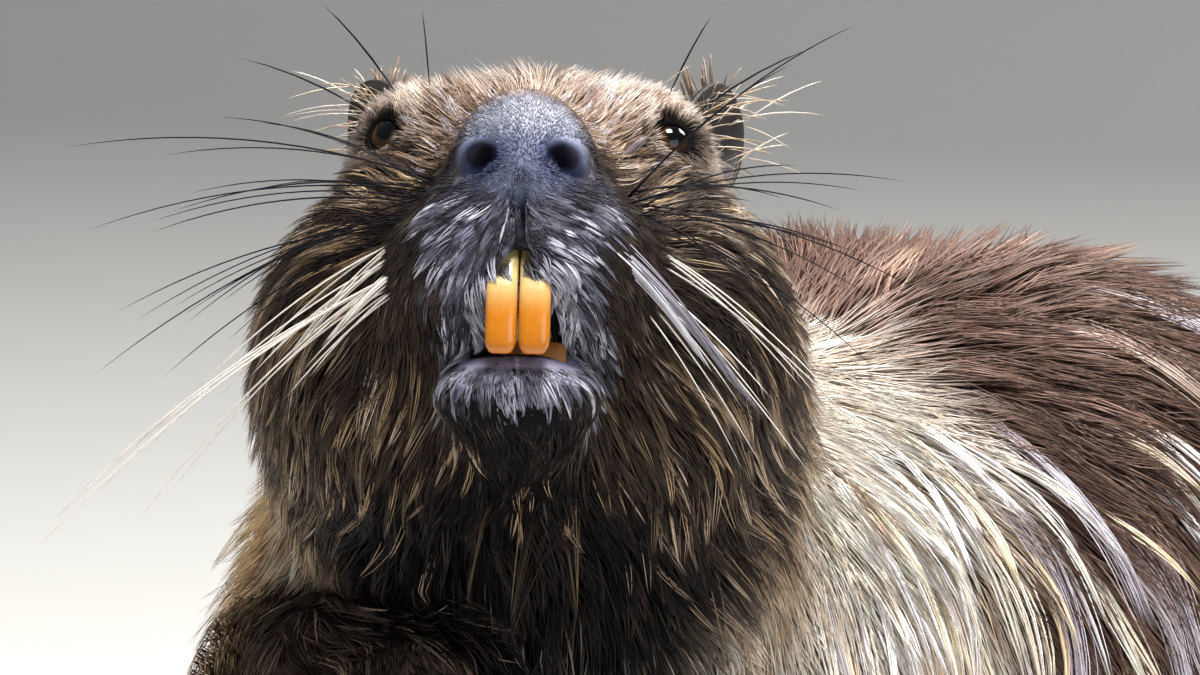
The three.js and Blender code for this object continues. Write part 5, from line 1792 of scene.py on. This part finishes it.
def tailScalePoints():
    line, share = tailLine(600)
    gone = share * np.linalg.norm(np.diff(line, axis=0), axis=1).sum()
    points, outs, alongs, sizes = [], [], [], []
    at = tailScales["from"] * gone[-1]
    ringNumber = 0
    while at < gone[-1] - 3:
        centre = np.array([np.interp(at, gone, line[:, n]) for n in range(3)])
        ahead = np.array([np.interp(at + 1, gone, line[:, n]) for n in range(3)]) - centre
        ahead = unit(ahead)
        radius = float(tailRadius(at / gone[-1])) - 0.5
        count = max(8, int(2 * math.pi * radius / tailScales["across"]))
        side = unit(np.cross(ahead, (0, 0, 1)))
        up = np.cross(side, ahead)
        for n in range(count):
            angle = (n + 0.5 * (ringNumber % 2)) * 2 * math.pi / count
            out = side * math.cos(angle) + up * math.sin(angle)
            place = centre + out * radius
            if place[2] > 0.5:
                points.append(place)
                outs.append(out)
                alongs.append(ahead)
                sizes.append(2 * math.pi * radius / count)
        at += tailScales["ringGap"] * (0.55 + 0.45 * radius / tail["radius"])
        ringNumber += 1
    return (np.array(v) for v in (points, outs, alongs, sizes))


def makeTailScaleTree(material):
    tree = bpy.data.node_groups.new("tailScaleRings", "GeometryNodeTree")
    t = Tree(tree)
    tree.interface.new_socket("Geometry", in_out="INPUT", socket_type="NodeSocketGeometry")
    tree.interface.new_socket("Scale Length", in_out="INPUT", socket_type=number)
    tree.interface.new_socket("Thickness", in_out="INPUT", socket_type=number)
    tree.interface.new_socket("Geometry", in_out="OUTPUT", socket_type="NodeSocketGeometry")

    def named(name, kind):
        return t.node("GeometryNodeInputNamedAttribute", data_type=kind, Name=name).outputs["Attribute"]

    given, out = tree.nodes.new("NodeGroupInput"), tree.nodes.new("NodeGroupOutput")
    shield = t.node("GeometryNodeMeshUVSphere", Segments=8, Rings=4, Radius=0.5)
    size = named("scaleSize", "FLOAT")
    turn = t.node("FunctionNodeAxesToRotation", Primary_Axis=named("scaleOut", "FLOAT_VECTOR"),
                  Secondary_Axis=named("scaleAlong", "FLOAT_VECTOR"))
    turn.primary_axis, turn.secondary_axis = "Z", "Y"
    shape = t.add("CombineXYZ", X=size, Y=given.outputs["Scale Length"], Z=given.outputs["Thickness"])
    tilt = t.node("FunctionNodeRotateRotation", Rotation=turn.outputs[0],
                  Rotate_By=(math.radians(tailScales["tilt"]), 0, 0))
    tilt.rotation_space = "LOCAL"
    placed = t.node("GeometryNodeInstanceOnPoints", Points=given.outputs["Geometry"],
                    Instance=shield.outputs["Mesh"], Rotation=tilt.outputs[0], Scale=shape.outputs[0])
    real = t.node("GeometryNodeRealizeInstances", Geometry=placed.outputs[0])
    smooth = t.node("GeometryNodeSetShadeSmooth", Geometry=real.outputs[0])
    painted = t.node("GeometryNodeSetMaterial", Geometry=smooth.outputs[0], Material=material)
    t.join(painted.outputs[0], out.inputs[0])
    return tree


def makeTailScales():
    points, outs, alongs, sizes = tailScalePoints()
    mesh = bpy.data.meshes.new("tailScaleSpots")
    mesh.from_pydata((points * mm).tolist(), [], [])
    for name, kind, values, field in (("scaleOut", "FLOAT_VECTOR", outs, "vector"),
                                      ("scaleAlong", "FLOAT_VECTOR", alongs, "vector"),
                                      ("scaleSize", "FLOAT", sizes * tailScales["overlap"] * mm, "value")):
        layer = mesh.attributes.new(name, kind, "POINT")
        layer.data.foreach_set(field, np.asarray(values, np.float32).ravel())
    holder = bpy.data.objects.new("tailScaleSpots", mesh)
    scene.collection.objects.link(holder)
    material, t, shader = finish("tailScaleHorn", Specular_IOR_Level=0.5)
    mottle = addGroup(t, softMottle, Colour=(*tailScales["tone"], 1), Scale=260, Amount=0.5)
    t.join(mottle.outputs["Colour"], shader.inputs["Base Color"])
    t.join(t.maths("MULTIPLY_ADD", mottle.outputs["Cloud"], 0.3, 0.35), shader.inputs["Roughness"])
    modifier = holder.modifiers.new("scales", "NODES")
    modifier.node_group = makeTailScaleTree(material)
    sizesGiven = {"Scale Length": tailScales["length"] * mm, "Thickness": tailScales["thickness"] * mm}
    for item in modifier.node_group.interface.items_tree:
        if item.name in sizesGiven:
            modifier[item.identifier] = sizesGiven[item.name]
    made = bpy.data.meshes.new_from_object(holder.evaluated_get(bpy.context.evaluated_depsgraph_get()))
    bpy.data.objects.remove(holder)
    piece = bpy.data.objects.new("tail_scale_rings", made)
    scene.collection.objects.link(piece)
    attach(piece, "root")
    report(f"tail scales made: {len(points)}")


makeTailScales()

# Floor, light and world

studio = {"floorSize": 14.0, "wallAt": 3100, "wallBend": 900, "wallTop": 6000,
          "floorTone": (0.46, 0.455, 0.44), "worldTone": (0.60, 0.68, 0.85), "world": 0.26,
          "key": 94, "fill": 13, "rim": 54}


def addFloor():
    half = studio["floorSize"] * 500
    bendAt, bend = studio["wallAt"] - studio["wallBend"], studio["wallBend"]
    profile = [(-half, 0.0), (bendAt, 0.0)]
    profile += [(bendAt + bend * math.sin(a), bend - bend * math.cos(a))
                for a in np.linspace(0.1, math.pi / 2, 14)]
    profile.append((studio["wallAt"], studio["wallTop"]))
    verts = [(x, y, z - 0.05) for y, z in profile for x in (-half, half)]
    loops = [n for k in range(len(profile) - 1) for n in (2 * k, 2 * k + 1, 2 * k + 3, 2 * k + 2)]
    material, t, shader = finish("palePaper", Roughness=0.85)
    grain = t.add("TexNoise", Vector=t.add("TexCoord").outputs["Object"], Scale=2.5, Detail=3.0)
    tone = studio["floorTone"]
    darker, lighter = [0.97 * v for v in tone], [1.03 * v for v in tone]
    t.join(t.blend(grain.outputs["Fac"], darker, lighter), shader.inputs["Base Color"])
    clear = t.add("MixShader")  # the paper behind is seen through from its back
    t.join(t.add("NewGeometry").outputs["Backfacing"], clear.inputs[0])
    t.join(shader.outputs[0], clear.inputs[1])
    t.join(t.add("BsdfTransparent").outputs[0], clear.inputs[2])
    t.join(clear.outputs[0], t.tree.nodes["Material Output"].inputs["Surface"])
    floor = makeObject("paleFloor", np.array(verts), loops, [4] * (len(profile) - 1), [material])


def addLight(name, power, size, place, aimAt, tone):
    data = bpy.data.lights.new(name, "AREA")
    data.shape, data.size, data.size_y = "RECTANGLE", size[0], size[1]
    data.energy, data.color = power, tone
    light = bpy.data.objects.new(name, data)
    light.location = place
    way = np.array(aimAt) - np.array(place)
    light.rotation_euler = (math.atan2(math.hypot(way[0], way[1]), -way[2]), 0, math.atan2(-way[0], way[1]))
    scene.collection.objects.link(light)


def lightStudio():
    addFloor()
    at = headAt * mm
    addLight("keyAbove", studio["key"], (0.55, 0.55), at + (0.25, -0.1, 1.85), at + (0, 0.12, 0),
             (1, 0.97, 0.92))
    addLight("fillLeft", studio["fill"], (1.6, 1.2), at + (1.9, -1.2, 0.9), at, (0.86, 0.92, 1))
    addLight("rimBehind", studio["rim"], (1.0, 0.7), at + (0.9, 1.5, 1.6), at + (0, 0.15, -0.05),
             (1, 0.98, 0.95))
    world = bpy.data.worlds.new("softRoom")
    world.use_nodes = True
    back = world.node_tree.nodes["Background"]
    back.inputs["Color"].default_value = (*studio["worldTone"], 1)
    back.inputs["Strength"].default_value = studio["world"]
    scene.world = world


lightStudio()
scene.view_settings.view_transform = "Standard"
report("stage lit")
